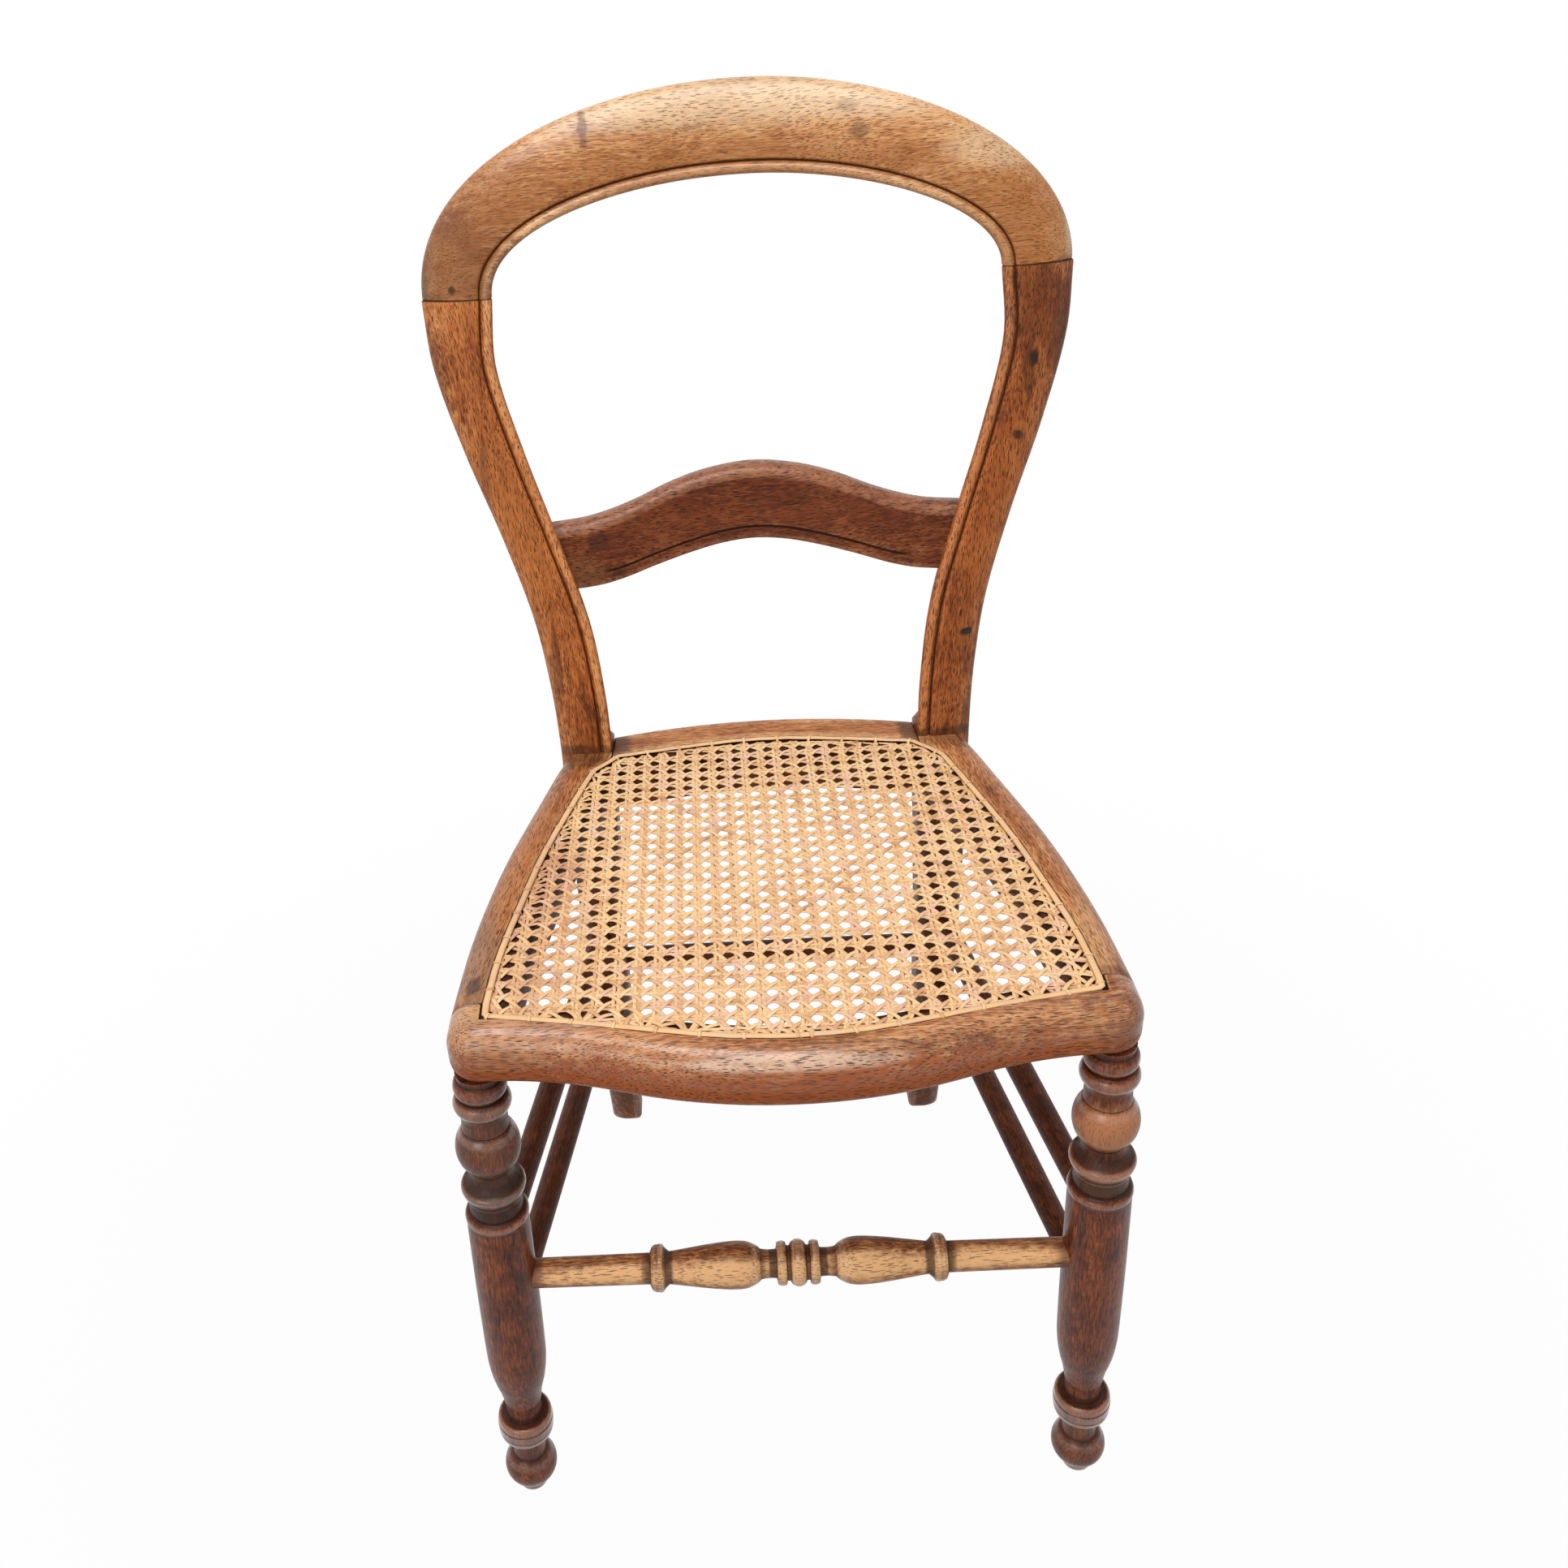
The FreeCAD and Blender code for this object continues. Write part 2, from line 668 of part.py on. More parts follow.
# Middle rail: sawn to its outline, hollowed in plan, coped to the posts and tenoned in. Each
# run holds the share of the half width and how far it has risen from the end to the middle.
MID_TOP = ((0.0, 1.0), (0.22, 0.89), (0.4, 0.67), (0.6, 0.32), (0.8, 0.08), (1.0, 0.0))
MID_UNDER = ((0.0, 1.0), (0.16, 0.92), (0.32, 0.73), (0.49, 0.47), (0.65, 0.2), (0.78, 0.06), (1.0, 0.0))
MID_STATIONS = 20
MID_SHARE = 0.42
mid_y = blend(size("seat_front"), size("joint_front"), MID_SHARE) + size("mid_recess")
mid_half = size("mid_half")


def rise_track(shares, centre, end):
    places, lifts = zip(*shares)
    return smooth_track(places, [blend(size(end), size(centre), lift) for lift in lifts])


top_track = rise_track(MID_TOP, "mid_top", "mid_end_top")
under_track = rise_track(MID_UNDER, "mid_under", "mid_end_under")
mid_centre = (size("mid_end_top") + size("mid_end_under")) / 2


def mid_section(x):
    """A section across the middle rail, with the groove that runs along its lower edge."""
    top = top_track.value(abs(x) / mid_half).x
    under = under_track.value(abs(x) / mid_half).x
    front = mid_y + size("rake") * (under - mid_centre) + bow(x, joint_inner, size("mid_bow"))
    high = top - under
    lift = size("mid_groove_lift")
    groove = 1.2 if abs(x) < size("mid_groove_half") else 0.0
    thick = size("mid_thick")
    corners = ((2, 0), (lift, 0), (lift + 0.8, groove), (lift + 1.6, 0), (high - 3, 0), (high, 3),
               (high, thick - 3), (high - 3, thick), (2, thick), (0, thick - 2), (0, 2))
    points = [Vector(x, front + size("rake") * up + back, under + up) for up, back in corners]
    return Part.makePolygon(points + points[:1])


mid_steps = range(-MID_STATIONS // 2, MID_STATIONS // 2 + 1)
mid_blank = loft("mid_blank", [mid_section(2 * step / MID_STATIONS * mid_half) for step in mid_steps])


# Tenons of the seat rails and the middle rail, with the mortises that take them
mortises = {"front_rail": [], "left_post": [], "right_post": []}
tenons = {"left_rail": [], "right_rail": [], "back_rail": [], "mid_rail": []}


def add_tenon(name, low, high, rail, socket, way):
    """A tenon box, given for the right side and mirrored for the left."""
    grown = ([place - gap for place in low], [place + gap for place in high])
    for target, key, label, (first, last) in ((tenons, rail, "_tenon", (low, high)),
                                              (mortises, socket, "_mortise", grown)):
        if way < 0:
            first, last = [-last[0]] + list(first[1:]), [-first[0]] + list(last[1:])
        target[key].append(block(name + label, first, last))


tenon_low = seat_under + size("tenon_lift")
tenon_high = tenon_low + size("tenon_height")
tenon_half = size("tenon_thick") / 2
tenon_length = size("tenon_length")
root = size("tenon_root")
front_tenon_x = side_inner[0][0] + 1.5
post_x = size("seat_centre")
post_y = size("seat_front") + size("seat_deep") / 2
mid_post_inner = post_at(mid_centre)[0]
mid_tenon_y = mid_y + size("mid_thick") / 2 + size("mid_tenon_setback")
mid_tenon_half = size("mid_tenon_thick") / 2
mid_tenon_rise = size("mid_tenon_height") / 2
mid_tenon_low = (mid_post_inner - root - 2.0, mid_tenon_y - mid_tenon_half, mid_centre - mid_tenon_rise)
mid_tenon_tip = mid_post_inner + size("mid_tenon_depth")
for side, way in SIDES:
    add_tenon(side + "_rail_front", (front_tenon_x, joint_y - tenon_length, tenon_low),
              (front_tenon_x + size("front_tenon_thick"), joint_y + root, tenon_high),
              side + "_rail", "front_rail", way)
    add_tenon(side + "_rail_rear", (post_x - tenon_half, size("seat_front") - root, tenon_low),
              (post_x + tenon_half, size("seat_front") + tenon_length, tenon_high),
              side + "_rail", side + "_post", way)
    add_tenon(side + "_back_rail", (post_inner - root, post_y - tenon_half, tenon_low),
              (post_inner + size("back_tenon_length"), post_y + tenon_half, tenon_high),
              "back_rail", side + "_post", way)
    add_tenon(side + "_mid_rail", mid_tenon_low,
              (mid_tenon_tip, mid_tenon_y + mid_tenon_half, mid_centre + mid_tenon_rise),
              "mid_rail", side + "_post", way)


# The rebate round the inside of the seat frame, and the whittled pegs that hold the cane
def prism(name, face, low, high):
    solid = face.extrude(Vector(0, 0, high - low))
    solid.translate(Vector(0, 0, low))
    return shape_object(name, solid)


def loop_wire(grow):
    return Part.Wire(Part.__sortEdges__([part.toShape() for part in border_loop(grow)]))


rebate = prism("seat_rebate", Part.Face(loop_wire(size("rebate_margin"))), ledge_top, seat_top + 5.0)
half_pegs = [front_border()[2], side_border()[3], back_border()[1]]
pegs = []
peg_holes = []
for count, (x, y) in enumerate(half_pegs + mirrored(half_pegs)):
    foot = Vector(x, y, ledge_top - size("peg_length"))
    head = Vector(x, y, ledge_top)
    peg = doc.addObject("Part::Prism", "cane_peg_%d" % count)
    peg.Polygon = 8
    peg.setExpression("Circumradius", "sizes.peg_radius")
    peg.setExpression("Height", "sizes.peg_length")
    peg.Placement.Base = foot
    pegs.append(peg)
    peg_holes.append(bar("cane_hole_%d" % count, foot - Vector(0, 0, gap), head + Vector(0, 0, 1),
                         "sizes.peg_radius + sizes.glue_gap"))
peg_drill = fuse("cane_holes", peg_holes[0], peg_holes[1:])

# The cane panel is a flat net that lies on the ledge. The binder covers its edge.
net_low = ledge_top + size("cane_clear")
net_high = net_low + size("cane_thick")
pitch = size("net_pitch")
half_gap = size("net_gap") / 2
inside = Part.Face(loop_wire(-size("ledge_width") - half_gap - 1.0))
holes = []
across = int(size("corner_half") / pitch) + 1
along = int(size("front_reach") / pitch) + 2
for i in range(-across, across + 1):
    for j in range(-along, along + 1):
        centre = Vector(i * pitch, (j - 2.5) * pitch, 0)
        if inside.isInside(centre, 1e-3, False):
            ring = [centre + Vector(a * half_gap, b * half_gap, 0)
                    for a, b in ((-1, -1), (1, -1), (1, 1), (-1, 1), (-1, -1))]
            holes.append(Part.makePolygon(ring))
print("gaps in the cane net:", len(holes))
net_face = Part.Face(Part.makeFace([loop_wire(size("cane_margin"))] + holes, "Part::FaceMakerBullseye"))
cane_net = prism("cane_net", net_face, net_low, net_high)

binder_half = size("binder_width") / 2
binder_low = net_high + 0.05
binder_ring = Part.Face(loop_wire(binder_half)).cut(Part.Face(loop_wire(-binder_half)))
binder = prism("binder", binder_ring.Faces[0], binder_low, binder_low + size("binder_thick"))

# Each finished piece under its own name
both_posts = [post_blanks["left"], post_blanks["right"]]
nodes = {}
nodes["crest_rail"] = cut("crest", crest_blank, list(dowel_bores.values()))
nodes["mid_rail"] = fuse("mid_rail", cut("mid_rail", mid_blank, both_posts), tenons["mid_rail"])
nodes["front_seat_rail"] = cut("front_rail", front_rail,
                               [rebate, peg_drill] + leg_bores + mortises["front_rail"])
for side, way in SIDES:
    coped = cut(side + "_rail_end", side_rails[side], [post_blanks[side]])
    nodes[side + "_seat_rail"] = cut(side + "_rail", fuse(side + "_rail", coped, tenons[side + "_rail"]),
                                     [rebate, peg_drill])
    nodes[side + "_back_post"] = cut(side + "_post", post_blanks[side],
                                     [dowel_bores[side]] + mortises[side + "_post"] + bores[side + "_rear"])
    nodes[side + "_front_leg"] = cut(side + "_leg", leg_blanks[side], bores[side + "_front"])
tenoned_rail = fuse("back_rail", back_rail, tenons["back_rail"])
nodes["back_seat_rail"] = cut("back_rail", tenoned_rail, [rebate, peg_drill])
nodes.update(stretchers)
nodes["crest_dowels"] = shape_object("crest_dowel_group", Part.makeCompound([]))
nodes["cane_panel"] = cane_net
nodes["cane_binder"] = binder
nodes["cane_pegs"] = shape_object("cane_peg_group", Part.makeCompound([]))
doc.recompute()
nodes["crest_dowels"].Shape = Part.makeCompound([dowel.Shape for dowel in dowels.values()])
nodes["cane_pegs"].Shape = Part.makeCompound([peg.Shape for peg in pegs])

failed = [item.Name for item in doc.Objects if "Invalid" in item.State or "Error" in item.State]
for name, item in nodes.items():
    item.Label = name
    if item.Shape.isNull() or not item.Shape.isValid() or not item.Shape.Solids:
        failed.append(name)
if failed:
    raise RuntimeError("these did not build: " + ", ".join(failed))

os.makedirs("parts", exist_ok=True)
for name, item in nodes.items():
    item.Shape.exportStep("parts/%s.step" % name)
    box = item.Shape.BoundBox
    print("%-22s %2d solids %9.1f cm3  z %.1f to %.1f" % (
        name, len(item.Shape.Solids), item.Shape.Volume / 1000, box.ZMin, box.ZMax))
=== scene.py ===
import math
import random

import bmesh
import bpy
from mathutils import Matrix, Vector


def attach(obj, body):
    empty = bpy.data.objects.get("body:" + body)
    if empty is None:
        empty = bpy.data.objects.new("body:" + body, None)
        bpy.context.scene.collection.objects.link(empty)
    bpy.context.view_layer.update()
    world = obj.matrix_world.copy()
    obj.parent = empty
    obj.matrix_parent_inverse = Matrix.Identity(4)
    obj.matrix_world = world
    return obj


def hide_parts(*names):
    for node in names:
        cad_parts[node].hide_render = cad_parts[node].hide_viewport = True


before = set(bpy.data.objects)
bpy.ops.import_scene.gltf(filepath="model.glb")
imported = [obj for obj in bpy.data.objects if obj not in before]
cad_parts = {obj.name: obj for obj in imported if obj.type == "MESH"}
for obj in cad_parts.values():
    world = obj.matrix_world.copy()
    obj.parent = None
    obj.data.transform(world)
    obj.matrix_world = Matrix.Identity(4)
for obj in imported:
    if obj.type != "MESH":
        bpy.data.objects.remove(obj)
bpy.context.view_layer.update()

# Rear legs and back posts. A leg and its post are one plank of hardwood from the floor to the
# crest rail, sawn to its sweep, shaved round at the edges, stained and varnished. Above the
# seat a bead and a quirk are worked along the inner edge of its face.
MM = 0.001
SIDES = (("left", -1), ("right", 1))


def blend(low, high, share):
    """The value at a share of the way from one to another."""
    return low + (high - low) * share


def clamp(share):
    """A share held between 0 and 1."""
    return min(1.0, max(0.0, share))


def between(rows, place):
    """Reads a table at a place in its first column, on a smooth run through its rows."""
    last = len(rows) - 1
    here = 0
    while here < last - 1 and rows[here + 1][0] <= place:
        here += 1
    start, end = rows[here], rows[here + 1]
    before, after = rows[max(here - 1, 0)], rows[min(here + 2, last)]
    step = end[0] - start[0]
    share = (place - start[0]) / step
    values = []
    for a, b, c, d in zip(before[1:], start[1:], end[1:], after[1:]):
        leaving = (c - a) / (end[0] - before[0]) * step
        arriving = (d - b) / (after[0] - start[0]) * step
        values.append(b + share * (leaving + share * ((3 * (c - b) - 2 * leaving - arriving)
                                                      + share * (2 * (b - c) + leaving + arriving))))
    return values


def new_piece(name, points, faces, **marks):
    """A piece with a smooth mesh. A mark, such as its rims, is a share for each point."""
    mesh = bpy.data.meshes.new(name)
    mesh.from_pydata(points, [], faces)
    for mark, shares in marks.items():
        layer = mesh.attributes.new(mark, "FLOAT", "POINT")
        layer.data.foreach_set("value", shares)
    mesh.shade_smooth()
    piece = bpy.data.objects.new(name, mesh)
    bpy.context.scene.collection.objects.link(piece)
    return piece


def skin(name, rings, rims, hollows, sharp=38):
    """A closed piece over rings of points in millimetres, with a crease where it turns sharply."""
    count = len(rings[0])
    faces = [tuple(range(count)), tuple(range(len(rings) * count - 1, (len(rings) - 1) * count - 1, -1))]
    for ring in range(len(rings) - 1):
        for spot in range(count):
            a, b = ring * count + spot, ring * count + (spot + 1) % count
            faces.append((a, b, b + count, a + count))
    piece = new_piece(name, [Vector(point) * MM for ring in rings for point in ring], faces, rim=rims, hollow=hollows)
    shape = bmesh.new()
    shape.from_mesh(piece.data)
    bmesh.ops.recalc_face_normals(shape, faces=shape.faces)
    shape.to_mesh(piece.data)
    shape.free()
    piece.data.set_sharp_from_angle(angle=math.radians(sharp))
    return piece


def round_corner(middle, radius, start, end, steps=5):
    """Points round a corner of a section, from one angle to another."""
    angles = [math.radians(blend(start, end, step / steps)) for step in range(steps + 1)]
    return [(middle[0] + radius * math.cos(a), middle[1] + radius * math.sin(a)) for a in angles]


# Distances across and back at the inner edge of the face: the rounded arris, the bead's top,
# its other side, the quirk that sets it off, and the start of the plain face
BEAD = ((0.0, 4.6), (0.25, 2.7), (1.1, 1.15), (2.4, 0.25), (4.0, 0.0), (5.8, 0.4), (7.1, 1.3), (7.9, 2.1),
        (8.5, 2.6), (9.1, 2.3), (9.7, 1.1), (10.4, 0.3), (11.4, 0.0))
BEAD_TOP = 4.0
FACE_START = 11.4
FACE_BEND = 2.2
OUTER_ROUND = 5.5
OUTER_DROP = 4.5
BACK_ROUND = 6.0
INNER_BACK_ROUND = 4.0


def moulded(wide, deep, carved, fall, lean):
    """A section across a post or the crest rail: distance across, distance back, rim, hollow. Carved
    is 1 where the bead is cut, fall is how far the face drops back towards its outer edge, and lean
    is how far the inner side comes in towards the back."""
    section = []
    # Rims, on the bead, the face towards its outer edge and the outer round, make those lighter for abrasion and a
    # painted highlight; the hollow on the face next to the quirk is painted shade
    for x, y in BEAD:
        rim = 0.8 if 1 < x < 6 else 0.1
        section.append((x, y * carved if x > BEAD_TOP else y, rim, carved * (8.2 < x < 9.3)))
    face = wide - OUTER_ROUND - FACE_START
    for step in range(1, 10):
        share = step / 9
        section.append((FACE_START + face * share, fall * share ** FACE_BEND, 0.05 + 0.5 * share ** 2,
                        0.24 * carved * (1 - share) ** 2))
    slope = FACE_BEND * fall / face
    low = fall + slope * OUTER_ROUND
    for step in range(1, 8):
        share = step / 7
        drop = blend(blend(fall, low, share), blend(low, low + OUTER_DROP, share), share)
        section.append((wide - OUTER_ROUND * (1 - share) ** 2, drop, 0.5, 0))
    back = min(BACK_ROUND, deep - low - (OUTER_DROP + 0.1))
    section += [(x, y, 0.2, 0) for x, y in round_corner((wide - back, deep - back), back, 0, 90, 6)]
    section += [(x, y, 0.2, 0) for x, y in round_corner((lean, deep - INNER_BACK_ROUND), INNER_BACK_ROUND, 90, 180)]
    return section


def ease_ends(rings, hollows, by=0.7):
    """Rounds off the arris of both ends and darkens it, so that a joint shows as a fine line."""
    count = len(rings[0])
    for end, behind in ((0, 1), (len(rings) - 1, len(rings) - 2)):
        centre = sum(rings[end], Vector()) / count
        full = [point.copy() for point in rings[end]]
        rings[end] = [point + (centre - point).normalized() * by for point in full]
        rings[behind] = [point + (there - point).normalized() * by for point, there in zip(full, rings[behind])]
        hollows[end * count:(end + 1) * count] = [1.0] * count


def member(name, edges, deeps, carved, falls, leans):
    """A post or crest rail over pairs of inner and outer front points."""
    rings, rims, hollows = [], [], []
    for (inner, outer), deep, cut, fall, lean in zip(edges, deeps, carved, falls, leans):
        across = (outer - inner).normalized()
        section = moulded((outer - inner).length, deep, cut, fall, lean)
        rings.append([inner + across * x + Vector((0, y, 0)) for x, y, rim, hollow in section])
        rims += [rim for x, y, rim, hollow in section]
        hollows += [hollow for x, y, rim, hollow in section]
    ease_ends(rings, hollows)
    return skin(name, rings, rims, hollows)


class Wire:
    """A value that runs through a material's nodes. Sums on it add Math nodes."""

    def __init__(self, tree, socket=None):
        self.tree = tree
        self.socket = socket

    def node(self, kind, settings=None, sockets=None, out=0):
        """A node of any other kind, with its settings, then the values and wires of its sockets."""
        made = self.tree.nodes.new("ShaderNode" + kind)
        for name, value in (settings or {}).items():
            if name == "stops":
                while len(made.color_ramp.elements) < len(value):
                    made.color_ramp.elements.new(1.0)
                for stop, (place, colour) in zip(made.color_ramp.elements, value):
                    stop.position = place
                    stop.color = (*colour, 1)
            else:
                setattr(made, name, value)
        for name, value in (sockets or {}).items():
            if isinstance(value, Wire):
                self.tree.links.new(value.socket, made.inputs[name])
            else:
                made.inputs[name].default_value = value
        return Wire(self.tree, made.outputs[out]) if len(made.outputs) else None

    def sum(self, operation, first, second):
        return self.node("Math", {"operation": operation}, {0: first, 1: second})

    def __add__(self, other):
        return self.sum("ADD", self, other)

    def __sub__(self, other):
        return self.sum("SUBTRACT", self, other)

    def __rsub__(self, other):
        return self.sum("SUBTRACT", other, self)

    def __mul__(self, other):
        return self.sum("MULTIPLY", self, other)

    __radd__ = __add__
    __rmul__ = __mul__

    def span(self, low, high):
        """0 at one value and 1 at another, soft at both ends."""
        return self.node("MapRange", {"interpolation_type": "SMOOTHSTEP"},
                         {"Value": self, "From Min": low, "From Max": high})

    def mix(self, under, over):
        """A colour that goes from one to the other."""
        return self.node("Mix", {"data_type": "RGBA"}, {0: self, 6: under, 7: over}, out=2)

    def times(self, x, y, z):
        """A place with each direction multiplied, so that a pattern has that many cells in a metre."""
        return self.node("VectorMath", {"operation": "MULTIPLY"}, {0: self, 1: (x, y, z)})

    def moved(self, offset):
        """A place moved by a vector, or by another wire's."""
        return self.node("VectorMath", {"operation": "ADD"}, {0: self, 1: offset})

    def noise(self, detail=2.0, rough=0.5, out=0):
        """Soft random values from 0 to 1 about 0.5, or their colours."""
        return self.node("TexNoise", {}, {"Vector": self, "Scale": 1.0, "Detail": detail, "Roughness": rough}, out)

    def cells(self, out):
        """Distance from the middle of the nearest cell, or a random value of that cell."""
        return self.node("TexVoronoi", {}, {"Vector": self, "Scale": 1.0}, out)


def new_material(name):
    """An empty material, and a wire to start its nodes from."""
    material = bpy.data.materials.new(name)
    material.use_nodes = True
    material.node_tree.nodes.clear()
    return material, Wire(material.node_tree)


def near(place, broken, centre, reach):
    """1 in the middle of a patch and 0 outside it. Centre and reach are in millimetres."""
    away = place.node("VectorMath", {"operation": "SUBTRACT"}, {0: place, 1: [c * MM for c in centre]})
    away = away.times(*[1 / (r * MM) for r in reach])
    length = away.node("VectorMath", {"operation": "LENGTH"}, {0: away}, out="Value")
    return (length + broken).span(1.3, 0.6)


SOIL_AND_SHADE = (0.026, 0.012, 0.007)


def wood(name, fibre, tones, patches=(), pores=0.8, figure=1.0, worn_and_highlight=(0.62, 0.33, 0.16), wear_and_highlight=0.5, grime_and_shade=0.85,
         remains=0.0, rough=0.42, coat=0.3, sheen=0.03):
    """Stained and varnished hardwood. Fibre is the way its grain runs, tones are its dark, middle and
    light colours, figure is their contrast, worn and wear are the colour and strength of lighter arrises,
    for abrasion and a painted highlight, remains is how much dark varnish is left in islands, coat and
    sheen are the polish on the arrises and on the rest, and a patch is a centre, a reach, a strength and a colour."""
    material, wire = new_material(name)
    # Grain, in a place turned so that its third direction runs along the fibre
    place = wire.node("TexCoord", out="Object")
    turn = Vector(fibre).rotation_difference(Vector((0, 0, 1))).to_euler()
    board = place.node("Mapping", {}, {"Vector": place, "Rotation": turn})
    board = board.moved(board.times(16, 16, 7).noise(2.0, 0.5, 1).times(0.012, 0.012, 0.0))
    bands = board.times(60, 60, 3.5).noise(4.0, 0.6)
    streaks = board.times(260, 260, 14).noise(3.0, 0.65)
    fibres = board.times(900, 900, 90).noise(3.0, 0.65)
    mottle = place.times(30, 30, 30).noise(5.0, 0.6)
    ripple = place.times(170, 170, 170).noise(4.0, 0.65) - 0.5
    tone = (bands * 0.7 + streaks * 0.8 + fibres * 1.5 - 1.5) * figure + mottle * 0.7 + 0.15
    dark, middle, light = tones
    colour = tone.node("ValToRGB", {"stops": ((0.15, dark), (0.5, middle), (0.85, light))}, {"Fac": tone})
    # Open pores as short dashes that crowd in some bands, with finer flecks between them
    dashes = board.times(1100, 1100, 100)
    crowd = (dashes.cells(1) + bands * 0.9 - 0.45).span(-0.4, 0.5)
    dash = (0.38 - dashes.cells(0) + fibres * 0.3 - 0.15).span(0.0, 0.14) * crowd
    flecks = board.times(1500, 1500, 240)
    fleck = (0.3 - flecks.cells(0) + streaks * 0.6 - 0.3).span(0.0, 0.2) * 0.5
    pore = wire.sum("MAXIMUM", dash, fleck) * pores
    if remains:
        islands = (place.times(90, 90, 90).noise(6.0, 0.7) + streaks * 0.7 - 0.35).span(0.49, 0.6) * remains
        colour = islands.mix(colour, tuple(c * 0.35 for c in dark) + (1,))
    # Lighter arrises for abrasion and a painted highlight, then the patches, and over both the pores and the hollows,
    # darkened by painted shade and dirt
    rim = place.node("Attribute", {"attribute_name": "rim"}, out="Fac")
    hollow = place.node("Attribute", {"attribute_name": "hollow"}, out="Fac")
    # Painted highlight and abrasion: arrises and rounded parts made lighter
    rubbed_and_highlit = (rim + ripple * 1.2 + streaks * 0.7 + mottle * 0.4 - 0.75).span(0.0, 0.9) * wear_and_highlight
    colour = rubbed_and_highlit.mix(colour, (*worn_and_highlight, 1))
    broken = ripple * 1.0 + streaks * 0.9 - 0.45
    for centre, reach, strength, tint in patches:
        colour = (near(place, broken, centre, reach) * strength).mix(colour, (*tint, 1))
    colour = pore.mix(colour, tuple(c * 0.55 for c in dark) + (1,))
    # Painted shade: the hollows darkened towards the dark tone, and the deeper ones nearly to black for dirt and
    # painted shade together
    colour = ((hollow + ripple * 0.3).span(0.0, 0.4) * 0.5).mix(colour, (*dark, 1))
    soiled_and_shaded = (hollow + ripple * 0.8).span(0.25, 0.8) * grime_and_shade
    polish = (rim + ripple * 0.5).span(0.15, 0.6) * coat + sheen
    colour = soiled_and_shaded.mix(colour, (*SOIL_AND_SHADE, 1))
    gloss = mottle * 0.16 + soiled_and_shaded * 0.25 + pore * 0.2 - rubbed_and_highlit * 0.05 + (rough - 0.08)
    height = mottle * 0.5 + streaks * 0.25 + fibres * 0.2 - pore * 0.6
    bump = height.node("Bump", {}, {"Strength": 0.5, "Distance": 0.0006, "Height": height})
    wire.node("OutputMaterial", {}, {"Surface": wire.node("BsdfPrincipled", {}, {
        "Base Color": colour, "Roughness": gloss, "Specular IOR Level": 0.14, "Coat Weight": polish,
        "Coat Roughness": 0.22, "Normal": bump})})
    return material


def fit(piece, material, slot, *nodes):
    """Gives a piece its material, and puts it in the place of CAD nodes."""
    piece.data.materials.append(material)
    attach(piece, "root")
    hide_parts(*nodes)


# Height, inner and outer edge, front face, depth
POST_ROWS = (
    (0.0, 131.5, 159.5, 159.0, 27.0),
    (58.9, 130.5, 160.1, 146.5, 28.6),
    (131.4, 129.0, 161.0, 130.0, 30.5),
    (199.3, 127.2, 161.2, 119.4, 32.5),
    (289.9, 124.4, 160.8, 109.9, 34.7),
    (380.5, 120.9, 160.3, 105.7, 36.4),
    (416.8, 119.4, 160.4, 105.5, 37.0),
    (453.0, 119.0, 160.0, 105.5, 37.0),
    (499.1, 120.9, 163.0, 113.5, 34.5),
    (555.0, 128.3, 171.4, 126.2, 31.5),
    (615.9, 146.2, 189.2, 140.6, 29.0),
    (679.0, 166.0, 211.0, 155.5, 26.5),
    (736.9, 180.4, 226.8, 169.7, 24.5),
    (782.0, 178.5, 230.0, 180.5, 23.0),
)
SEAT_TOP = 453.0
JOINT = 782.0
FOOT_ROUND = 7.0
FOOT_TUCK = 3.5
POST_FALL = (1.5, 6.0)
POST_LEAN = (4.0, 9.5)
SOOT = (0.030, 0.016, 0.010)
POST_TONES = {
    "left": ((0.15, 0.036, 0.009), (0.46, 0.127, 0.028), (0.63, 0.235, 0.066)),
    "right": ((0.11, 0.027, 0.008), (0.38, 0.100, 0.023), (0.53, 0.185, 0.052)),
}
POST_WORN_AND_HIGHLIGHT = {"left": (0.80, 0.35, 0.12), "right": (0.64, 0.24, 0.075)}
# Painted shade: the legs below the seat are darkened as if in its shadow
LEG_SHADE = (0.070, 0.025, 0.012)
POST_PATCHES = {
    "left": (
        ((-139, 120, 200), (60, 120, 235), 0.85, LEG_SHADE),
        ((-139, 110, 455), (40, 30, 5), 0.6, SOOT),
        ((-196, 158, 663), (4, 12, 26), 0.8, (0.09, 0.02, 0.012)),
        ((-156, 120, 520), (5, 14, 30), 0.5, (0.09, 0.024, 0.010)),
        # Painted shade along the outer edge, where the post turns from the light
        ((-225, 175, 715), (9, 20, 60), 0.5, (0.12, 0.035, 0.014)),
        ((-176, 148, 630), (40, 24, 75), 0.4, (0.74, 0.25, 0.065)),
    ),
    "right": (
        ((139, 120, 200), (60, 120, 235), 0.85, LEG_SHADE),
        ((139, 110, 455), (40, 30, 5), 0.6, SOOT),
        ((159, 110, 470), (6, 30, 22), 0.45, SOOT),
        ((199, 162, 718), (6, 12, 24), 0.45, SOOT),
        ((202, 167, 722), (4.0, 12, 6), 1.0, SOOT),
        ((191, 155, 671), (3.6, 12, 4), 1.0, SOOT),
        ((155, 123, 532), (6, 12, 3), 1.0, SOOT),
        # Painted shade along the outer edge, where the post turns from the light
        ((226, 178, 690), (12, 22, 110), 0.6, (0.10, 0.03, 0.012)),
        ((172, 146, 615), (40, 24, 75), 0.3, (0.66, 0.19, 0.045)),
        ((212, 175, 756), (34, 20, 34), 0.55, (0.12, 0.032, 0.012)),
    ),
}
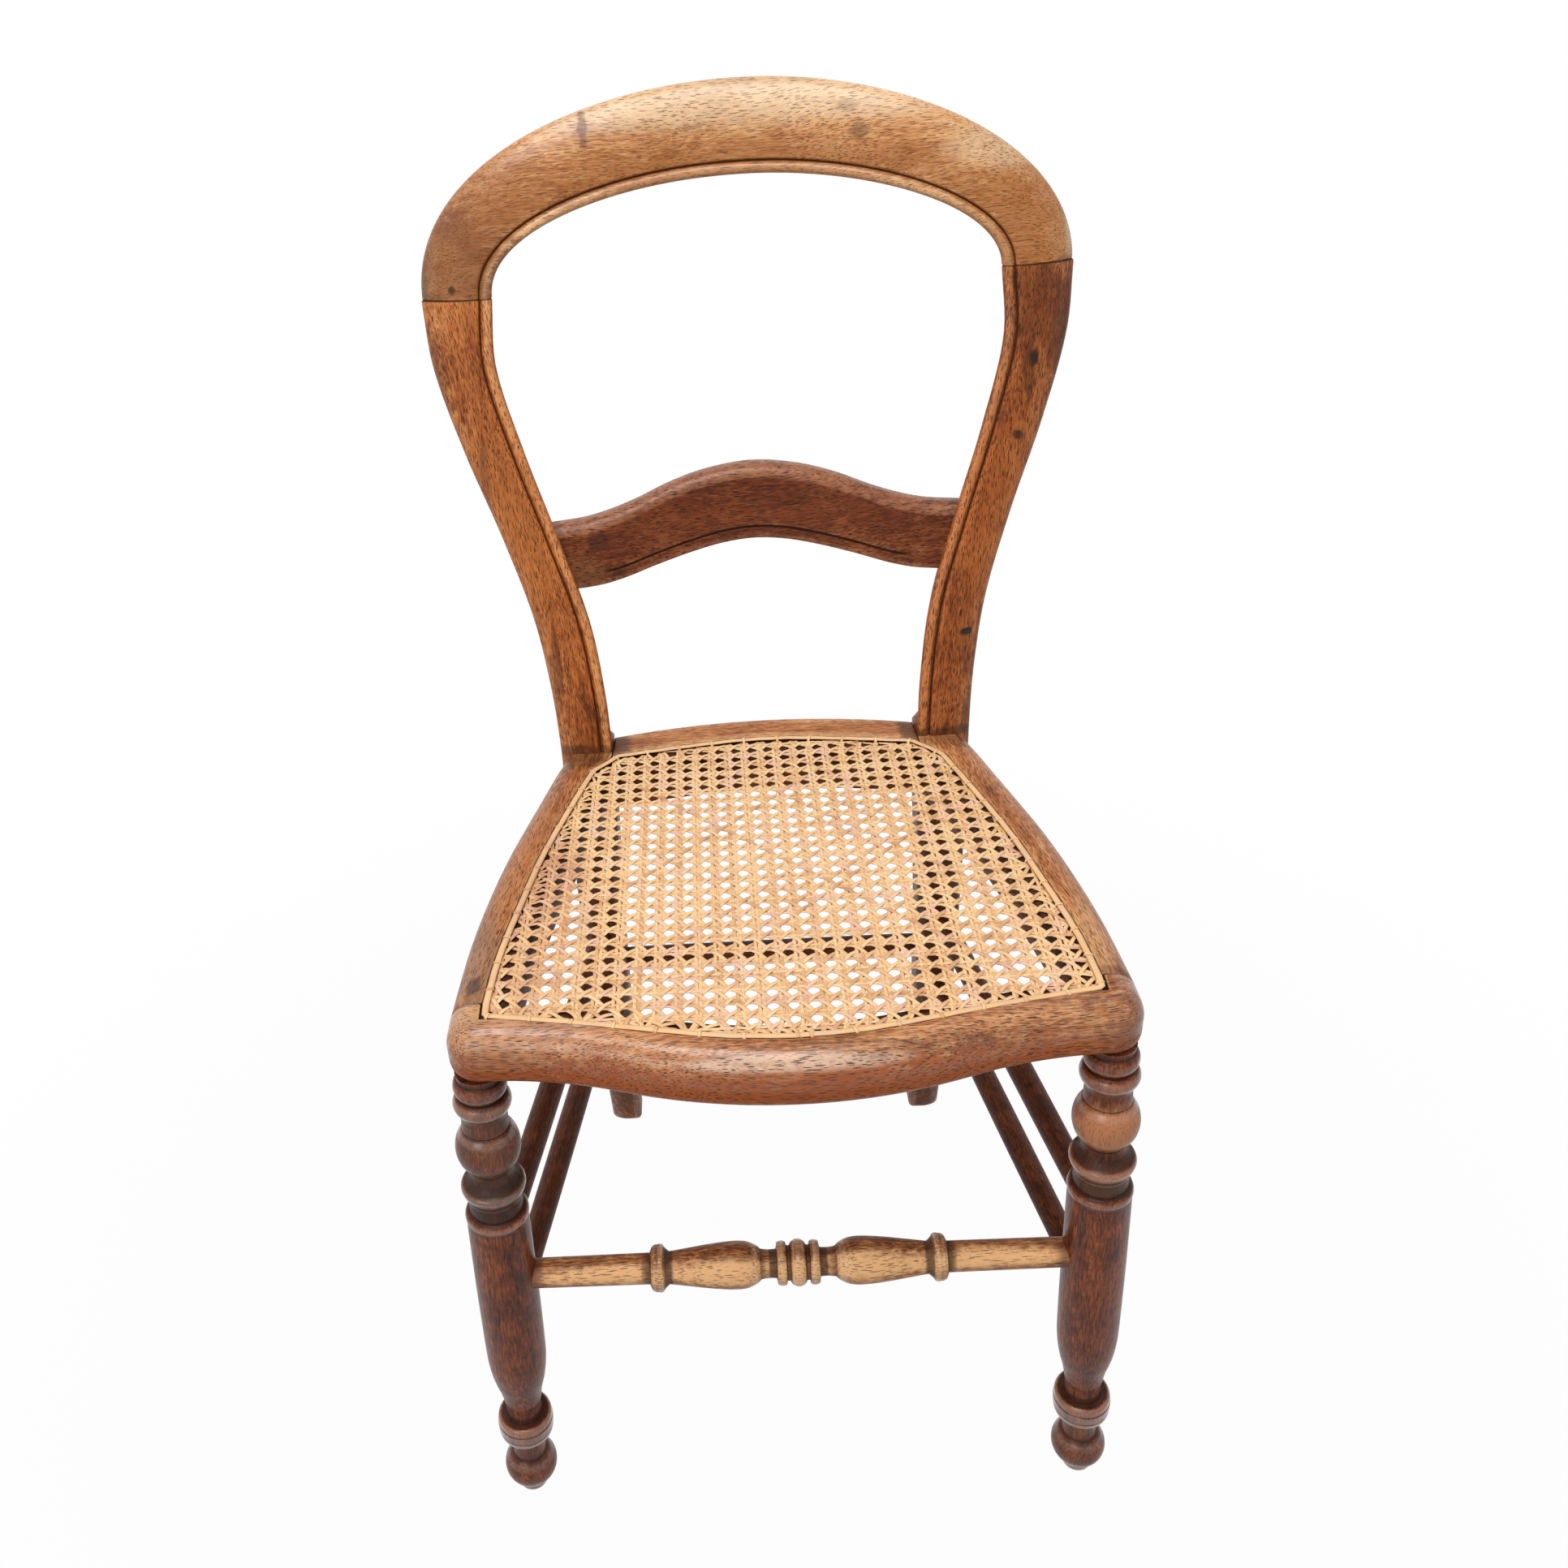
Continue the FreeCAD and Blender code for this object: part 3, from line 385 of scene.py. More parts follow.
for side, way in SIDES:
    heights = [0.0, 1.5, 3.5] + [blend(FOOT_ROUND, JOINT, step / 110) for step in range(111)]
    edges, deeps = [], []
    for height in heights:
        inner, outer, front, deep = between(POST_ROWS, height)
        tuck = FOOT_TUCK * max(0.0, 1 - height / FOOT_ROUND) ** 2
        edges.append([Vector((way * x, front + tuck, height)) for x in (inner + tuck, outer - tuck)])
        deeps.append(deep - 2 * tuck)
    carved = [clamp((height - SEAT_TOP + 6) / 6) for height in heights]
    falls = [blend(*POST_FALL, clamp((height - 380) / 120)) for height in heights]
    leans = [blend(*POST_LEAN, clamp((height - SEAT_TOP + 2) / 5)) for height in heights]
    post = member(side + "_post", edges, deeps, carved, falls, leans)
    stain = wood(side + "_post_wood", (way * 0.12, 0.15, 1), POST_TONES[side], POST_PATCHES[side],
                 worn_and_highlight=POST_WORN_AND_HIGHLIGHT[side], wear_and_highlight=0.9, pores=1.0)
    fit(post, stain, "post_wood", side + "_back_post")


# The crest rail is sawn from one wide plank of the same wood to a half ellipse, bowed backwards
# in plan, with the posts' bead carried round its inner edge. Its dowels are hidden in the joints.
CREST_INNER = 178.5
CREST_OUTER = 230.0
INNER_RISE = 65.0
OUTER_RISE = 123.0
RAKE = 0.24
BACK = 180.5
CREST_BOW = 18.1
CREST_DEEP = 23.0
CREST_FALL = 9.0
LEFT_POWER = 0.94


def bowed(x, half, deep):
    """How far back a bowed rail lies. It is level at both ends."""
    return deep * math.cos(math.pi * x / (2 * half)) ** 2 if abs(x) < half else 0.0


def on_arch(half, rise, angle):
    """A point of the crest rail's face. Its left shoulder is a little fuller than an ellipse."""
    power = 1.0 if angle < math.pi / 2 else LEFT_POWER
    x = half * math.copysign(abs(math.cos(angle)) ** power, math.cos(angle))
    up = rise * math.sin(angle) ** power
    return Vector((x, BACK + RAKE * up + bowed(x, CREST_INNER, CREST_BOW), JOINT + up))


angles = [math.pi * step / 130 for step in range(131)]
edges = [(on_arch(CREST_INNER, INNER_RISE, a), on_arch(CREST_OUTER, OUTER_RISE, a)) for a in angles]
alike = [[value] * len(angles) for value in (CREST_DEEP, 1.0, CREST_FALL, POST_LEAN[1])]
crest = member("crest", edges, *alike)
END_BROWN = (0.22, 0.068, 0.019)
CREST_PATCHES = (
    ((-215, 190, 800), (62, 40, 62), 0.68, END_BROWN),
    ((205, 190, 800), (55, 40, 70), 0.6, (0.42, 0.145, 0.038)),
    # A painted highlight down the outer edge of the right shoulder
    ((227, 192, 812), (4, 20, 28), 0.45, (0.95, 0.80, 0.60)),
    # Painted shade: the lower part of the face darker, towards the quirk
    ((0, 215, 850), (150, 40, 14), 0.55, (0.42, 0.150, 0.045)),
    # Painted highlights: paler along the top of the face and on the right shoulder
    ((10, 215, 893), (165, 40, 17), 0.42, (0.95, 0.76, 0.50)),
    ((178, 208, 856), (40, 30, 14), 0.3, (0.95, 0.76, 0.50)),
    ((82, 212, 871), (8, 12, 6), 0.6, (0.13, 0.05, 0.022)),
    ((72, 215, 886), (12, 12, 5), 0.45, (0.20, 0.09, 0.04)),
    ((-107, 214, 884), (3.5, 14, 15), 0.7, (0.13, 0.052, 0.03)),
    ((-190, 197, 815), (12, 20, 10), 0.45, (0.16, 0.05, 0.025)),
    ((-185, 200, 850), (46, 40, 40), 0.4, (0.34, 0.115, 0.033)),
    ((-231, 192, 805), (8, 30, 44), 0.6, (0.13, 0.085, 0.05)),
    ((-206, 184, 789), (2.5, 10, 3), 0.9, (0.05, 0.02, 0.012)),
    ((-203, 190, 830), (14, 20, 12), 0.4, (0.16, 0.05, 0.03)),
)
CREST_TONES = ((0.27, 0.088, 0.026), (0.56, 0.245, 0.088), (0.76, 0.42, 0.18))
stain = wood("crest_wood_grain", (1, 0.02, 0.03), CREST_TONES, CREST_PATCHES, worn_and_highlight=(0.84, 0.52, 0.26), wear_and_highlight=0.7,
             coat=0.5)
fit(crest, stain, "crest_wood", "crest_rail", "crest_dowels")


# The middle rail is sawn in hardwood to an arched outline, hollowed in plan and coped to the
# posts, with a groove cut along its lower edge that stops short of both ends.
MID_HALF = 153.0
# Shares of the half width, and the heights of the upper and lower edge there
MID_TOP = ((-0.22, 651.5), (0.0, 655.0), (0.22, 651.5), (0.4, 644.6), (0.6, 633.6), (0.8, 626.0), (1.0, 623.5))
MID_UNDER = ((-0.16, 601.0), (0.0, 603.0), (0.16, 601.0), (0.32, 596.1), (0.49, 589.5), (0.65, 582.6),
             (0.78, 579.0), (1.0, 577.5))
MID_FRONT = 141.0
MID_CENTRE = 600.5
MID_THICK = 17.0
MID_BOW = 15.0
GROOVE_DEEP = 1.3
GROOVE_END = 113.0
rings, rims, hollows = [], [], []
for step in range(-40, 41):
    x = MID_HALF * step / 40
    top = between(MID_TOP, abs(step / 40))[0]
    under = between(MID_UNDER, abs(step / 40))[0]
    front = MID_FRONT + RAKE * (under - MID_CENTRE) + bowed(x, CREST_INNER, MID_BOW)
    high = top - under
    groove = GROOVE_DEEP * clamp((GROOVE_END - abs(x)) / 3)
    dark = groove / GROOVE_DEEP
    section = [(b, u, 0.7, 0) for b, u in round_corner((2, 2), 2, 180, 270, 3)][::-1]
    section += [(0.0, 6.8, 0, 0), (0.0, 7.6, 0.3, 0), (groove, 8.3, 0, dark), (groove, 9.2, 0, dark),
                (0.0, 9.9, 0.3, 0), (0.0, 0.5 * high, 0, 0), (0.0, 0.8 * high, 0, 0)]
    section += [(b, u, 0.7, 0) for b, u in round_corner((7.5, high - 7.5), 7.5, 180, 90, 8)]
    section += [(b, u, 0.8, 0) for b, u in round_corner((MID_THICK - 3, high - 3), 3, 90, 0, 4)]
    section += [(MID_THICK, 0.5 * high, 0, 0)]
    section += [(b, u, 0.6, 0) for b, u in round_corner((MID_THICK - 2, 2), 2, 0, -90, 3)]
    rings.append([Vector((x, front + RAKE * up + back, under + up)) for back, up, rim, hollow in section])
    rims += [rim for back, up, rim, hollow in section]
    hollows += [hollow for back, up, rim, hollow in section]
mid = skin("middle_rail", rings, rims, hollows)
MID_TONES = ((0.055, 0.014, 0.005), (0.155, 0.034, 0.010), (0.27, 0.083, 0.027))
MID_PATCHES = (
    ((-150, 150, 600), (8, 30, 30), 0.6, SOOT),
    ((150, 150, 600), (8, 30, 30), 0.6, SOOT),
    ((-118, 146, 612), (8, 20, 7), 0.6, (0.045, 0.018, 0.010)),
    ((-132, 144, 588), (20, 20, 12), 0.5, (0.20, 0.085, 0.032)),
    # A painted highlight along the rounded top of the front face
    ((0, 160, 652), (75, 14, 6), 0.45, (0.44, 0.17, 0.080)),
    ((0, 150, 624), (110, 12, 18), 0.35, (0.24, 0.055, 0.016)),
)
stain = wood("middle_rail_wood", (1, 0, 0.05), MID_TONES, MID_PATCHES, worn_and_highlight=(0.42, 0.165, 0.075), wear_and_highlight=1.0,
             pores=0.95, coat=0.25)
fit(mid, stain, "post_wood", "mid_rail")


# The seat frame is four hardwood boards, mortised and tenoned, with a ledge sunk round the
# inside for the cane and a round worked along the outer edge. The front rail runs the whole width.
SEAT_UNDER = 415.0
LEDGE = 449.4
SEAT_JOINT = -185.5
EDGE_ACROSS = 16.5
EDGE_DOWN = 18.0
UNDER_ROUND = 10.0
ARC_STEPS = 24


def smooth_run(points, steps):
    """A smooth line through points of a plan, with even steps between each two."""
    run = []
    spots = [points[0]] + list(points) + [points[-1]]
    for a, b, c, d in zip(spots, spots[1:], spots[2:], spots[3:]):
        for step in range(steps):
            t = step / steps
            run.append([0.5 * (2 * q + t * (r - p + t * (2 * p - 5 * q + 4 * r - s + t * (3 * q - p - 3 * r + s))))
                        for p, q, r, s in zip(a, b, c, d)])
    return run + [list(points[-1])]


def arc_run(start, heading, points):
    """Arcs that run smoothly on from each other through points of a plan."""
    run = [Vector(start)]
    heading = Vector(heading).normalized()
    for point in points:
        chord = Vector(point) - run[-1]
        turn = heading.angle_signed(chord)
        here, sweep = run[-1], -2 * turn
        radius = chord.length / (2 * math.sin(sweep / 2)) if abs(sweep) > 1e-6 else 0
        for step in range(1, ARC_STEPS + 1):
            part = sweep * step / ARC_STEPS
            if radius:
                along, aside = radius * math.sin(part), radius * (1 - math.cos(part))
                run.append(here + heading * along + Vector((-heading.y, heading.x)) * aside)
            else:
                run.append(here + chord * step / ARC_STEPS)
        heading = Matrix.Rotation(sweep, 2) @ heading
    return run


def even(run, count):
    """The same plan line in a number of equal steps."""
    run = [Vector(point) for point in run]
    lengths = [0.0]
    for a, b in zip(run, run[1:]):
        lengths.append(lengths[-1] + (b - a).length)
    points = []
    for step in range(count + 1):
        want = lengths[-1] * step / count
        spot = 0
        while spot < len(run) - 2 and lengths[spot + 1] < want:
            spot += 1
        gap = lengths[spot + 1] - lengths[spot]
        points.append(run[spot].lerp(run[spot + 1], (want - lengths[spot]) / gap if gap else 0.0))
    return points


# The cane's border on one side: distance across and share of its drop at the front, share along
# and share inwards at the side, share across and drop at the back
BORDER_FRONT = ((0, 0), (39.6, 0.1), (79.1, 0.36), (122.1, 0.68), (172, 1))
BORDER_SIDE = ((0, 0), (0.166, 0.06), (0.365, 0.22), (0.58, 0.42), (0.806, 0.72), (1, 1))
BORDER_BACK = ((0, 0), (0.2, 0.8), (0.6, 7), (1, 15))


def border(grow):
    """Half runs of the cane's border, front, side and back, each moved outwards by a distance."""
    front = [(x, -226.5 + 28.0 * drop - grow) for x, drop in BORDER_FRONT]
    side = [(blend(183, 133, share) + grow, SEAT_JOINT + 265.5 * along) for along, share in BORDER_SIDE]
    back = [(114.0 * share, 116.0 - drop + grow) for share, drop in BORDER_BACK]
    return smooth_run(front, 8), smooth_run(side, 8), smooth_run(back, 8)


def rail(name, inner, arris, outer, flip=1, edge=1.0):
    """A board of the seat frame between its inner edge, the arris of its ledge and its outer edge. Flip
    is -1 where its outer side is to the left of the runs, and edge is the size of its outer round."""
    rings, rims, hollows = [], [], []
    across, down = EDGE_ACROSS * edge, EDGE_DOWN * edge
    outer = [Vector(point) for point in outer]
    for spot, (a, b, c) in enumerate(zip(inner, arris, outer)):
        ahead = outer[min(spot + 1, len(outer) - 1)] - outer[max(spot - 1, 0)]
        out = Vector((ahead.y, -ahead.x)).normalized() * flip
        a, b = Vector(a), Vector(b)
        level = c - out * across - b
        width = level.length
        level.normalize()
        # The inner wall and the ledge are marked hollow, which darkens them as painted shade and dirt
        section = [(a, SEAT_UNDER, 0, 0.3), (a, LEDGE - 0.6, 0, 0.8), (a.lerp(b, 0.04), LEDGE, 0, 0.9),
                   (b, LEDGE, 0, 1), (b, SEAT_TOP - 0.9, 0, 0.8), (b + level * 0.3, SEAT_TOP - 0.3, 0.6, 0.2),
                   (b + level * 1.0, SEAT_TOP, 0.9, 0)]
        for share in (0.35, 0.7):
            section.append((b + level * width * share, SEAT_TOP + 0.15 * math.sin(math.pi * share), 0.15, 0))
        for angle in range(90, -1, -9):
            turn = math.radians(angle)
            section.append((c - out * across * (1 - math.cos(turn)), SEAT_TOP - down * (1 - math.sin(turn)), 0.5, 0))
        for angle in range(0, -91, -15):
            turn = math.radians(angle)
            section.append((c - out * UNDER_ROUND * (1 - math.cos(turn)),
                            SEAT_UNDER + UNDER_ROUND * (1 + math.sin(turn)), 0.15, 0))
        rings.append([Vector((*point, height)) for point, height, rim, hollow in section])
        rims += [rim for point, height, rim, hollow in section]
        hollows += [hollow for point, height, rim, hollow in section]
    ease_ends(rings, hollows, 0.5)
    return skin(name, rings, rims, hollows, sharp=50)


def whole(half):
    """A half run with its mirror image before it."""
    return [Vector((-point[0], point[1])) for point in half[:0:-1]] + [Vector(point) for point in half]


front_in, side_in, back_in = border(-13.0)
front_out, side_out, back_out = border(2.5)
ogee = arc_run((0, -249.5), (1, 0), [(103.1, -232.8), (187.5, -219.1), (207.5, -199.1)])
ogee.append(Vector((207.5, SEAT_JOINT)))
corner_at = 2 * ARC_STEPS
run_steps, corner_steps = 40, 22
corner_arris = [front_out[-1], (185.7, -200.2), (186.2, SEAT_JOINT)]
half_inner = even(front_in, run_steps) + [Vector((172, SEAT_JOINT))] * corner_steps
half_arris = even(front_out, run_steps) + even(corner_arris, corner_steps)[1:]
half_outer = even(ogee[:corner_at + 1], run_steps) + even(ogee[corner_at:], corner_steps)[1:]
front_rail = rail("front_rail", whole(half_inner), whole(half_arris), whole(half_outer))
FRAME_TONES = ((0.17, 0.044, 0.013), (0.45, 0.155, 0.048), (0.67, 0.30, 0.115))
LEFT_TONES = ((0.12, 0.030, 0.009), (0.33, 0.098, 0.028), (0.55, 0.22, 0.075))
FRONT_TONES = ((0.13, 0.033, 0.010), (0.40, 0.128, 0.038), (0.66, 0.29, 0.115))
GOLD = (0.78, 0.47, 0.22)
PAINTED_HIGHLIGHT = (0.92, 0.65, 0.48)
FRONT_PATCHES = (
    # A painted highlight along the round of the front edge
    ((0, -245, 448), (200, 6, 5), 0.65, PAINTED_HIGHLIGHT),
    ((47, -245, 449), (13, 7, 4), 0.5, (0.10, 0.05, 0.04)),
    ((-133, -236, 450), (10, 7, 5), 0.5, (0.10, 0.055, 0.045)),
    ((-165, -215, 450), (50, 30, 10), 0.35, (0.62, 0.34, 0.20)),
    ((-191, -193, 453), (16, 10, 6), 0.4, GOLD),
    ((-68, -248, 450), (34, 8, 0.9), 0.8, SOOT),
    # Painted shade: the lower front darker towards the bottom
    ((0, -249, 424), (280, 100, 20), 0.8, (0.44, 0.095, 0.013)),
    ((205, -205, 432), (26, 34, 26), 0.6, (0.26, 0.085, 0.035)),
    ((-189, -185.5, 453), (22, 1.6, 6), 0.6, SOOT),
    ((194, -185.5, 453), (16, 1.6, 6), 0.6, SOOT),
)
stain = wood("front_rail_wood", (1, 0.03, 0), FRONT_TONES, FRONT_PATCHES, figure=1.25, worn_and_highlight=GOLD, wear_and_highlight=0.5,
             pores=1.0, coat=0.8, rough=0.38)
fit(front_rail, stain, "frame_wood", "front_seat_rail")


def beside_post(run, corner, end):
    """An inner run of a side rail, carried on past the post's corner to its end against the post."""
    return even(run, 60) + even([run[-1], corner], 8)[1:] + even([corner, end], 4)[1:]


side_edge = smooth_run(((207.5, SEAT_JOINT + 0.15), (204.5, -125), (199.0, -75), (191.0, -25), (181.5, 18),
                        (172.5, 56), (165.0, 88), (160.0, 105.5)), 12)
side_outer = [Vector(point) for point in side_edge] + [Vector((159.7, 113.5))]
post_at = [spot for spot, point in enumerate(side_outer) if point.y < 88.0][-1]
inner = beside_post(side_in, (119.15, 98.7), (119.15, 108.5))
arris = beside_post(side_out, (119.2, 98.8), (119.2, 108.5))
outer = even(side_outer[:post_at + 1], 60) + even(side_outer[post_at:], 12)[1:]
SIDE_PATCHES = {
    "left": (
        ((-190, -150, 453), (12, 46, 30), 0.6, (0.30, 0.17, 0.10)),
        ((-193, -169, 452), (5, 8, 5), 0.8, (0.07, 0.035, 0.02)),
        ((-150, 96, 455), (30, 12, 12), 0.5, SOOT),
        ((-178, -20, 453), (22, 70, 30), 0.4, (0.52, 0.20, 0.070)),
    ),
    "right": (
        ((150, 98, 455), (30, 10, 12), 0.4, SOOT),
        ((188, -150, 453), (8, 40, 30), 0.4, GOLD),
        ((194, -182, 453), (14, 5, 10), 0.5, (0.12, 0.055, 0.03)),
    ),
}
for side, way in SIDES:
    runs = [[(way * point[0], point[1]) for point in run] for run in (inner, arris, outer)]
    board = rail(side + "_rail", *runs, flip=way)
    tones = LEFT_TONES if way < 0 else FRAME_TONES
    stain = wood(side + "_rail_wood", (-way * 0.12, 1, 0), tones, SIDE_PATCHES[side], worn_and_highlight=GOLD, wear_and_highlight=0.35,
                 pores=0.9)
    fit(board, stain, "frame_wood", side + "_seat_rail")

BACK_HALF = 118.85
BACK_EDGE = 0.4
back_edge = arc_run((0, 150), (1, 0), [(BACK_HALF, 134)])
half_inner = even(back_in, 30) + even([back_in[-1], (BACK_HALF, 85)], 3)[1:]
half_arris = even(back_out, 30) + even([back_out[-1], (BACK_HALF, 98.9)], 3)[1:]
half_outer = even(back_edge, 33)
back_rail = rail("back_rail", whole(half_inner), whole(half_arris), whole(half_outer), -1, BACK_EDGE)
BACK_PATCHES = tuple(((x, 120, 455), (10, 40, 12), 0.7, SOOT) for x in (-115, 115))
stain = wood("back_rail_wood", (1, 0, 0), FRAME_TONES, BACK_PATCHES, worn_and_highlight=GOLD, wear_and_highlight=0.7)
fit(back_rail, stain, "frame_wood", "back_seat_rail")


# Front legs, turned in hardwood, with a ball foot, beads, a swelling shaft and a ball below
# the seat, where a round tenon goes up into the front rail.
# Heights and radii, in the form that outline() takes
LEG_TURNING = (
    (0, 8.6), (2.6, 10.9, 0.8, 10.1), (9.6, 11.5), (10, 12.8), (39, 12.2, 24, 19.3), (62, 12.4, 50, 11.7),
    (62.3, 16.4), (66, 19.5, 63.6, 18.6), (68.6, 19.9), (69.3, 18.9), (70, 20.1), (76.4, 20.1), (77.1, 18.9),
    (77.8, 19.9), (80.6, 19.5), (83.8, 16.2, 82.8, 18.6), (84, 13.4), (100, 13.4, 92, 12.5),
    ((112, 15.2), (126, 18.2), (142, 20.2), (162, 20.8), (219, 20.9), (262, 20.6), (290, 20.3)),
    (297, 18.1, 295.4, 20.0), (297.3, 17.2), (300, 17.6), (308.3, 17.0), (308.6, 17.8), (312, 18.3),
    (317, 20.6, 314.4, 19.8), (321.4, 19.6, 319.8, 20.7), (322, 18.2), (334, 13.0, 326, 14.4), (335, 13.8),
    (368.8, 14.8, 351.5, 20.7), (369.4, 13.8), (370.2, 15.0), (377, 14.6, 373.5, 14.7), (384.8, 16.0, 381.5, 14.8),
    (396, 15.2, 390.5, 18.3), (396.4, 14.2), (397.2, 14.5), (409.6, 14.8, 403.3, 16.8), (410, 14.1), (415, 14.5),
)


def through_arc(a, m, b):
    """Points of the arc from a to b through m, without a."""
    ax, ay, bx, by, mx, my = *a, *b, *m
    d = 2 * (ax * (my - by) + mx * (by - ay) + bx * (ay - my))
    if abs(d) < 1e-9:
        return [b]
    cx = ((ax**2 + ay**2) * (my - by) + (mx**2 + my**2) * (by - ay) + (bx**2 + by**2) * (ay - my)) / d
    cy = ((ax**2 + ay**2) * (bx - mx) + (mx**2 + my**2) * (ax - bx) + (bx**2 + by**2) * (mx - ax)) / d
    radius = math.hypot(ax - cx, ay - cy)
    start, middle, end = [math.atan2(y - cy, x - cx) for x, y in (a, m, b)]
    sweep = (end - start) % (2 * math.pi)
    if (middle - start) % (2 * math.pi) > sweep:
        sweep -= 2 * math.pi
    angles = [start + sweep * step / 14 for step in range(1, 15)]
    return [(cx + radius * math.cos(t), cy + radius * math.sin(t)) for t in angles]


def outline(rows):
    """Points of a turned outline. Two numbers are reached straight, four through the second pair
    on an arc, and a group of pairs is one sweet curve."""
    points = [rows[0]]
    for row in rows[1:]:
        last = points[-1]
        if isinstance(row[0], tuple):
            points += [tuple(point) for point in smooth_run([last] + list(row), 8)[1:]]
        elif len(row) == 4:
            points += through_arc(last, row[2:], row[:2])
        else:
            steps = max(1, int(abs(row[0] - last[0]) / 6))
            shares = [step / steps for step in range(1, steps + 1)]
            points += [(blend(last[0], row[0], share), blend(last[1], row[1], share)) for share in shares]
    return points


FLOOR = 0.0


def turned(name, rows, start, end, around=56):
    """A turned piece between two points. Its rims and hollows are where its outline stands out from
    its usual radius within 6 mm, or lies below it."""
    points = outline(rows)
    axis = (end - start).normalized()
    aside = axis.orthogonal().normalized()
    beside = axis.cross(aside)
    rings, rims, hollows = [], [], []
    for place, radius in points:
        window = [(r, max(0.0, 1 - abs(p - place) / 6)) for p, r in points]
        usual = sum(r * w for r, w in window) / sum(w for r, w in window)
        ring = []
        for step in range(around):
            turn = 2 * math.pi * step / around
            point = start + axis * place + (aside * math.cos(turn) + beside * math.sin(turn)) * radius
            point.z = max(point.z, FLOOR)
            ring.append(point)
        rings.append(ring)
        rims += [clamp((radius - usual) / 0.9)] * around
        hollows += [clamp((usual - radius) / 1.1)] * around
    return skin(name, rings, rims, hollows, sharp=32)


def leg_axis(way, height):
    """A point in the middle of a front leg, which is splayed outwards and forwards."""
    share = height / SEAT_UNDER
    return Vector((way * blend(205.5, 191.3, share), -blend(209.0, 201.5, share), height))


LEG_TONES = ((0.040, 0.010, 0.004), (0.200, 0.043, 0.013), (0.38, 0.105, 0.036))
DUST = (0.145, 0.092, 0.066)
LEG_PATCHES = (
    ((0, -209, 4), (400, 60, 10), 0.5, DUST),
    ((0, -209, 45), (400, 60, 42), 0.25, DUST),
    ((-191, -222, 355), (30, 24, 55), 0.35, DUST),
    ((-191, -222, 322), (30, 24, 7), 0.5, DUST),
    ((191, -222, 356), (28, 24, 17), 0.75, (0.66, 0.27, 0.12)),
    ((205, -209, 2), (30, 30, 5), 0.7, (0.40, 0.26, 0.12)),
    ((191, -220, 312), (26, 22, 12), 0.5, (0.50, 0.22, 0.11)),
)
for side, way in SIDES:
    leg = turned(side + "_leg", LEG_TURNING, leg_axis(way, 0.0), leg_axis(way, SEAT_UNDER))
    stain = wood(side + "_leg_wood", (-way * 0.034, 0.018, 1), LEG_TONES, LEG_PATCHES, pores=0.4, figure=1.25,
                 worn_and_highlight=(0.42, 0.16, 0.07), wear_and_highlight=0.65, grime_and_shade=0.55, remains=0.4, rough=0.36, coat=1.0, sheen=0.15)
    fit(leg, stain, "leg_wood", side + "_front_leg")


# Stretchers, turned in hardwood and let into bored holes. The front one is an ornament: a vase
# either side of a middle bead, rings, and long plain arms. The feet of sitters have worn it.
def front_turning(half):
    """The outline of the front stretcher, mirrored at its middle bead."""
    outer = ((0, 9.8), (half - 100, 10.2), (half - 99, 12.4), (half - 94.6, 15.3, half - 97.4, 14.7),
             (half - 91, 15.3, half - 92.8, 15.7), (half - 86.5, 10.6, half - 89.4, 13.0),
             ((half - 74, 12.3), (half - 60, 14.2), (half - 46, 15.5), (half - 36, 15.3), (half - 29, 13.0),
              (half - 25, 9.9)),
             (half - 14.8, 9.5, half - 19, 9.2), (half - 14.2, 12.4), (half - 12.4, 14.2, half - 13.7, 13.8),
             (half - 9.2, 14.2, half - 10.8, 14.6), (half - 7.9, 12.6, half - 8.2, 13.7), (half - 7.4, 11.4),
             (half - 5.7, 11.4), (half - 5, 12.8))
    near_side = outline(outer)
    far_side = [(2 * half - place, radius) for place, radius in reversed(near_side)]
    bead = through_arc((half - 5, 12.8), (half, 15.4), (half + 5, 12.8))
    return near_side + bead[:-1] + far_side


def rear_axis(way, height):
    """A point in the middle of a rear leg."""
    inner, outer, front, deep = between(POST_ROWS, height)
    return Vector((way * (inner + outer) / 2, front + deep / 2, height))


FRONT_LEVEL = 230.0
REAR_LEVEL = 229.0
SIDE_LEVELS = (("upper", 266.0), ("lower", 190.0))
FRONT_INSET = 7
REAR_INSET = 2.5
start, end = leg_axis(-1, FRONT_LEVEL), leg_axis(1, FRONT_LEVEL)
along = (end - start).normalized() * FRONT_INSET
front_half = (end - start).length / 2 - FRONT_INSET
bar = turned("front_stretcher_turning", front_turning(front_half), start + along, end - along, 48)
STRETCHER_TONES = ((0.13, 0.036, 0.013), (0.44, 0.155, 0.050), (0.74, 0.36, 0.14))
BARE_WOOD_AND_HIGHLIGHT = (1.0, 0.56, 0.26)
STRETCHER_PATCHES = (
    # Bare wood left by sitters' feet, placed on the front so that it also serves as a painted highlight
    ((-120, -214, 234), (66, 8, 7), 0.95, BARE_WOOD_AND_HIGHLIGHT),
    ((-46, -217, 236), (38, 9, 10), 1.0, BARE_WOOD_AND_HIGHLIGHT),
    ((0, -217, 235), (13, 8, 11), 0.9, BARE_WOOD_AND_HIGHLIGHT),
    ((42, -216, 238), (34, 9, 11), 1.0, BARE_WOOD_AND_HIGHLIGHT),
    ((120, -213, 236), (66, 8, 7), 1.0, BARE_WOOD_AND_HIGHLIGHT),
    ((-183, -205, 230), (12, 30, 30), 0.7, (0.10, 0.035, 0.02)),
    ((183, -205, 230), (12, 30, 30), 0.7, (0.10, 0.035, 0.02)),
)
stain = wood("front_stretcher_wood", (1, 0, 0), STRETCHER_TONES, STRETCHER_PATCHES, figure=1.2,
             worn_and_highlight=(0.90, 0.55, 0.27), wear_and_highlight=0.6, grime_and_shade=0.6, remains=0.4, pores=0.75, coat=0.6, sheen=0.15)
fit(bar, stain, "stretcher_wood", "front_stretcher")

